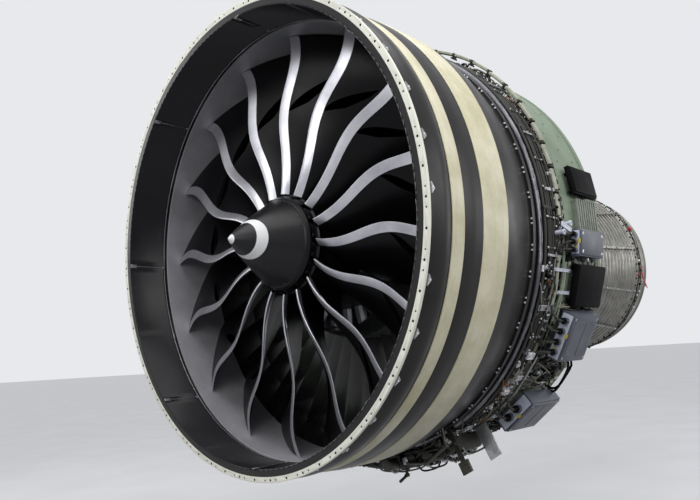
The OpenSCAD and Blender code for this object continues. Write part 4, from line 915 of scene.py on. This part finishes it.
# Loose looking but clipped lines over the frame: dense near the units and under the engine. Above the units
# they keep behind the harness lines.
loose = {"lines": 64, "foot": 1.752, "seat": 1.7505, "flatSeat": 1.7735, "upper": -8, "rear": 1.64}
for k in range(loose["lines"]):
    angle = anyTurn((-64, -6), (-116, -40), (-64, 26), (26, 180))
    below = angle < loose["upper"]
    station = between(1.40 if below else 1.54, 1.62)
    span = between(3, 9)
    high = between(1.778, 1.800)
    thick = chance.choice((0.0035, 0.0045, 0.006, 0.008))
    end = min(max(station + between(-0.10, 0.10), 1.39 if below else 1.53), 1.645)
    finish = chance.choice(("braidedSleeve", "braidedSleeve", "drawnTube", "paleSleeve", "darkPlate",
                            "tarnishedCopper"))
    layHose(finish, thick, 6, (loose["foot"], angle, station), (high, angle + span * 0.12, station),
            (high + 0.004, angle + span * 0.4, station + (end - station) * 0.3), (high, angle + span * 0.8, end),
            (loose["foot"] + 0.002, angle + span, end))
fitting = pointOut(turnProfile([(0, 0), (0.011, 0), (0.011, 0.012), (0.016, 0.013), (0.016, 0.028), (0.010, 0.030),
                                (0.008, 0.044), (0, 0.044)], 8))
groups = {}
for finish, count in (("zincPlate", 60), ("darkPlate", 70), ("tarnishedCopper", 16), ("blackSilicone", 40)):
    for k in range(count):
        angle = anyTurn((-66, -6), (-118, -40), (-66, 60), (60, 240))
        size = between(0.6, 1.3)
        station = between(1.40 if angle < loose["upper"] else 1.53, loose["rear"])
        groups.setdefault(finish, []).append(spot(angle, loose["seat"], station) @ scaled(size, size, size))
spread(fitting, groups)
upright, lying = {}, {}
for finish, count in (("zincPlate", 46), ("darkPlate", 50), ("lilacEnamelAndPaintedLight", 10)):
    for k in range(count):
        angle = anyTurn((-66, -6), (-118, -40), (-20, 70), (60, 240))
        size = between(0.7, 1.3)
        front = 1.42 if angle < loose["upper"] else 1.54
        turn = tilt(0.5)
        if k % 2:
            upright.setdefault(finish, []).append(spot(angle, loose["seat"], between(front, loose["rear"]))
                                                  @ turn @ scaled(size, 1, size))
        else:
            lying.setdefault(finish, []).append(spot(angle, loose["flatSeat"], between(front, 1.61))
                                                @ turn @ scaled(1, size, size))
spread(formedBlock(0.030, 0.005, 0.034, 0.001), upright)
spread(formedBlock(0.004, 0.046, 0.030, 0.001, 0.001), lying)

# Between and under the boxes the barrel is hidden by bundles, lumps and short hoses, and so is its front edge.
crowd = {"front": 1.675, "rear": 2.26, "lumps": 300, "hoses": 110, "edge": 130, "sink": 0.001,
         "bays": ((-9.3, -7.6), (-20.8, -19.6), (-44.4, -33.6), (-64, -56.6))}
lumps = {}
for k in range(crowd["edge"]):
    station = between(1.669, 1.694)
    size = between(0.35, 0.75)
    turn = tilt(0.6)
    finish = chance.choice(("braidedSleeve", "darkPlate", "blackSilicone", "olivePaint", "darkPlate", "braidedSleeve"))
    lumps.setdefault(finish, []).append(onBarrel(between(-62, -2.5), station, crowd["sink"]) @ turn
                                        @ scaled(size, size * 0.7, size * 1.6))
for k in range(crowd["lumps"]):
    angle = between(*crowd["bays"][chance.choice((2, 2, 2, 3, 3, 1, 0))])
    station = crowd["front"] + (crowd["rear"] - crowd["front"]) * chance.random() ** 1.3
    size = between(0.5, 1.25)
    turn = tilt(0.9)
    finish = chance.choice(("braidedSleeve", "darkPlate", "blackSilicone", "olivePaint", "darkPlate", "zincPlate",
                            "paleSleeve", "braidedSleeve"))
    lumps.setdefault(finish, []).append(onBarrel(angle, station, crowd["sink"]) @ turn @ scaled(size, size, size))
spread(formedBlock(0.030, 0.046, 0.036, 0.008, 0.0, 2), lumps)
for k in range(crowd["hoses"]):
    bay = crowd["bays"][chance.choice((2, 2, 2, 3, 3, 1))]
    angle = between(*bay)
    y0 = between(1.64, 2.02)
    y1 = min(y0 + between(0.10, 0.30), crowd["rear"])
    lift = between(0.020, 0.075)
    last = min(max(angle + between(-3.5, 3.5), bay[0]), bay[1])
    r0, r1 = barrelRadius(max(y0, barrel["front"])), barrelRadius(y1)
    finish = chance.choice(("braidedSleeve", "blackSilicone", "darkPlate", "drawnTube", "paleSleeve", "blackSilicone"))
    layHose(finish, chance.choice((0.005, 0.007, 0.009, 0.012)), 6, (r0 - 0.004, angle, y0),
            (r0 + lift, angle, y0 + 0.02), (r1 + lift * 1.1, (angle + last) / 2, (y0 + y1) / 2),
            (r1 + lift, last, y1 - 0.02), (r1 - 0.004, last, y1))
# Two dark rods that cross from the middle unit's rear end down to the lower one
for shift in (0.0, 1.6):
    layHose("blackSilicone", 0.011, 8, (1.80, -33.7, 2.04), (1.900, -33.5 - shift * 0.3, 2.06 - shift * 0.03),
            (1.885, -38.5 - shift, 2.10), (1.880, -44.2 - shift, 2.12), (1.80, -44.6, 2.12))
specks = []
for k in range(240):
    angle = anyTurn((-66, -6), (-78, -34), (-66, 60))
    high = between(1.752, 1.786)
    station = between(1.42 if angle < loose["upper"] else 1.54, loose["rear"])
    specks.append(spot(angle, high, station) @ tilt(0.8, "Y"))
spread(smallBolt, specks, "brightZinc")
print("lines and fittings made")

# Hoses, lines and housings round the gearbox, under the engine
under = {"gearbox": 1.925, "front": 1.340, "rear": 1.720, "seat": 0.006, "hoses": 26, "frontHoses": 20,
         "housings": 120, "bolts": 17, "boltPitch": 2.9}
for k in range(under["hoses"]):
    angle = between(-112, -62)
    y0 = between(1.345, 1.50)
    y1 = between(1.56, 1.715)
    lift = between(0.012, 0.050)
    swing = between(-7, 7)
    foot, high = under["gearbox"] - under["seat"], under["gearbox"] + lift
    finish = chance.choice(("braidedSleeve", "darkPlate", "drawnTube", "blackSilicone"))
    layHose(finish, chance.choice((0.006, 0.008, 0.011)), 8, (foot, angle, y0), (high, angle, y0 + 0.01),
            (under["gearbox"] + lift * 1.2, angle + swing * 0.5, (y0 + y1) / 2), (high, angle + swing, y1 - 0.01),
            (foot, angle + swing, y1))
for k in range(under["frontHoses"]):
    angle = between(-112, -60)
    reach = between(1.80, 1.90)
    front = under["front"] - between(0.02, 0.09)
    swing = between(-9, 9)
    finish = chance.choice(("braidedSleeve", "darkPlate", "drawnTube"))
    layHose(finish, chance.choice((0.006, 0.008, 0.012)), 8, (reach, angle, under["front"] + 0.004),
            (reach, angle, front), (reach - 0.02, angle + swing * 0.5, front - 0.012), (1.80, angle + swing, front),
            (1.756, angle + swing, front + 0.02))
housings = {}
for k in range(under["housings"]):
    angle = between(-112, -63)
    size = between(0.5, 1.3)
    turn = tilt(0.8)
    if k % 3:
        place = spot(angle, between(1.80, 1.905), under["front"] - under["seat"]) @ turned(-90, "Z")
    else:
        place = spot(angle, under["gearbox"] - 0.003, between(under["front"] + 0.03, under["rear"] - 0.03))
    finish = chance.choice(("darkPlate", "blackSilicone", "darkCasting", "zincPlate", "braidedSleeve"))
    housings.setdefault(finish, []).append(place @ turn @ scaled(size * 0.7, size, size))
spread(formedBlock(0.034, 0.050, 0.052, 0.010, 0.0, 2), housings)
spread(hexBolt(0.009, 0.012), [spot(-113 + i * under["boltPitch"], under["gearbox"] - 0.0005, y)
                               for i in range(under["bolts"])
                               for y in (under["front"] + 0.040, under["rear"] - 0.040)], "zincPlate")
print("underside lines made")

# Turbine case: clamps on the tubes, bolts round the rear flange, red closures on the open ports
turbine = {"clamps": ((4.13, 0.832), (4.33, 0.867), (4.53, 0.901), (4.72, 0.934), (4.88, 0.9615)),
           "nuts": 72, "nutAt": (0.9780, 4.9170, 0), "clips": 150, "braids": ((4.952, 0.006), (5.006, 0.007)),
           "caps": ((17.5, 0.880, 4.20), (7.0, 0.872, 4.18), (-10.0, 0.874, 4.16), (26.0, 0.99, 4.96)),
           "tapes": ((-1.0, 0.16), (-3.5, 0.22), (-6.0, 0.20))}
spread(hexBolt(0.008, 0.010), [spot(i * 30 + 11) @ moved(r + 0.0355, y, 0) for i in range(12)
                               for y, r in turbine["clamps"]], "zincPlate")
spread(hexBolt(0.008, 0.016), [spot(i * 360 / turbine["nuts"]) @ moved(*turbine["nutAt"]) @ turned(90, "Z")
                               for i in range(turbine["nuts"])], "darkPlate")
rimClips = {"darkPlate": [], "blackSilicone": [], "brightZinc": [], "redVinyl": []}
for i in range(turbine["clips"]):
    a = i * 360 / turbine["clips"] + between(-0.7, 0.7)
    red = -12 < a - 360 < 2 and i % 2
    finish = "redVinyl" if red else chance.choice(("darkPlate", "blackSilicone", "darkPlate", "brightZinc"))
    place = spot(a, 0.982 + between(0, 0.004), between(4.93, 5.02))
    rimClips[finish].append(place @ scaled(between(0.5, 1.3), 1, between(0.6, 1.4)))
spread(formedBlock(0.020, 0.026, 0.018, 0.002), rimClips)
for station, thick in turbine["braids"]:
    for start in (0, 180):
        keepFor("braidedSleeve", ringRun(start, start + 180, station, 0.992, thick, 0.004, 3.0, 6))
cap = pointOut(turnProfile([(0, 0), (0.020, 0), (0.022, 0.004), (0.022, 0.030), (0.018, 0.036), (0, 0.036)], 16))
spread(cap, [spot(*place) for place in turbine["caps"]], "redVinyl")
for angle, drop in turbine["tapes"]:
    placedBlock("redVinyl", Matrix.Translation(polar(0.997, angle, 5.010)) @ turned(3 * angle, "Y")
                @ moved(0, 0, -drop / 2), 0.002, 0.024, drop, 0.0006)

for finish, pieces in store.items():
    piece = joinPieces(pieces, finish + "Fittings")
    finishPiece(piece, "engine_carcass", finish, (), 40)
    print(piece.name, len(piece.data.polygons), "faces")

# Floor and light


def pictureRays(owner):
    # 1 for a ray that the camera sees, directly or in a reflection or through glass
    rays = addNode(owner, "LightPath").outputs
    mirrored = addNode(owner, "Math", (), {0: rays["Is Glossy Ray"], 1: rays["Is Transmission Ray"]},
                       {"operation": "MAXIMUM"})
    return addNode(owner, "Math", (), {0: rays["Is Camera Ray"], 1: mirrored}, {"operation": "MAXIMUM"})


# In the picture part of the floor's tone is its own colour, so that it stays even far from the lamps. Other rays
# meet a darker floor, so that it doesn't light the engine from below.
stage = {"floor": -2.55, "size": 400, "back": 10, "floorColour": "#DCDDE0", "second": "#D6D7DA", "dim": "#77787B",
         "evenness": 0.55, "dust": 900, "backdrop": "#E8E9EC", "room": (0.95, 0.97, 1.0, 1), "roomLight": 0.34}
floorLook, place = newMaterial("paleFloor")
dust = addNode(floorLook, "TexNoise", {"Scale": perMetre(stage["dust"]), "Detail": 4}, {"Vector": place})
floorTone = addNode(floorLook, "ValToRGB", (), {"Fac": dust}, (), ((0.3, stage["floorColour"]), (0.7, stage["second"])))
lit = addNode(floorLook, "BsdfPrincipled", {"Roughness": 0.5}, {"Base Color": floorTone})
even = addNode(floorLook, "Emission", {"Strength": 1.0}, {"Color": floorTone})
shown = addNode(floorLook, "MixShader", {0: stage["evenness"]}, {1: lit, 2: even})
dim = addNode(floorLook, "BsdfDiffuse", {"Color": toLinear(stage["dim"])})
chosen = addNode(floorLook, "MixShader", (), {0: pictureRays(floorLook), 1: dim, 2: shown})
addNode(floorLook, "OutputMaterial", (), {"Surface": chosen})
clearSelection()
bpy.ops.mesh.primitive_plane_add(size=stage["size"])
floor = bpy.context.active_object
floor.name = "studioFloor"
floor.data.transform(moved(0, stage["back"], stage["floor"]))
floor.data.materials.append(floorLook)

world = bpy.data.worlds.new("studio")
bpy.context.scene.world = world
world.use_nodes = True
world.node_tree.nodes.clear()
backdrop = addNode(world, "Background", {"Color": toLinear(stage["backdrop"]), "Strength": 1.0})
roomLight = addNode(world, "Background", {"Color": stage["room"], "Strength": stage["roomLight"]})
chosen = addNode(world, "MixShader", (), {0: pictureRays(world), 1: roomLight, 2: backdrop})
addNode(world, "OutputWorld", (), {"Surface": chosen})

lamps = {
    "overhead": {"at": (1.5, -1.0, 7.0), "aim": (0.3, 1.2, 0), "size": (7.0, 9.0), "watts": 560},
    "front": {"at": (3.5, -7.5, 2.5), "aim": (0, 0.5, 0), "size": (5.0, 4.0), "watts": 260},
    "side": {"at": (8.5, 2.5, 2.5), "aim": (0.5, 2.0, 0), "size": (6.0, 4.0), "watts": 260},
    "far": {"at": (-7.0, -2.0, 3.0), "aim": (0, 1.0, 0), "size": (5.0, 4.0), "watts": 160},
    "rim": {"at": (6.6, 9.6, 1.6), "aim": (1.2, 1.6, 0), "size": (1.2, 3.2), "watts": 90},
}
for name, lamp in lamps.items():
    clearSelection()
    bpy.ops.object.light_add(type="AREA", location=lamp["at"])
    light = bpy.context.active_object
    light.name = name + "Lamp"
    light.data.shape = "RECTANGLE"
    light.data.size, light.data.size_y = lamp["size"]
    light.data.energy = lamp["watts"]
    light.rotation_mode = "QUATERNION"
    light.rotation_quaternion = (Vector(lamp["aim"]) - Vector(lamp["at"])).to_track_quat("-Z", "Y")
bpy.context.scene.view_settings.view_transform = "Standard"
print("stage and lamps set")
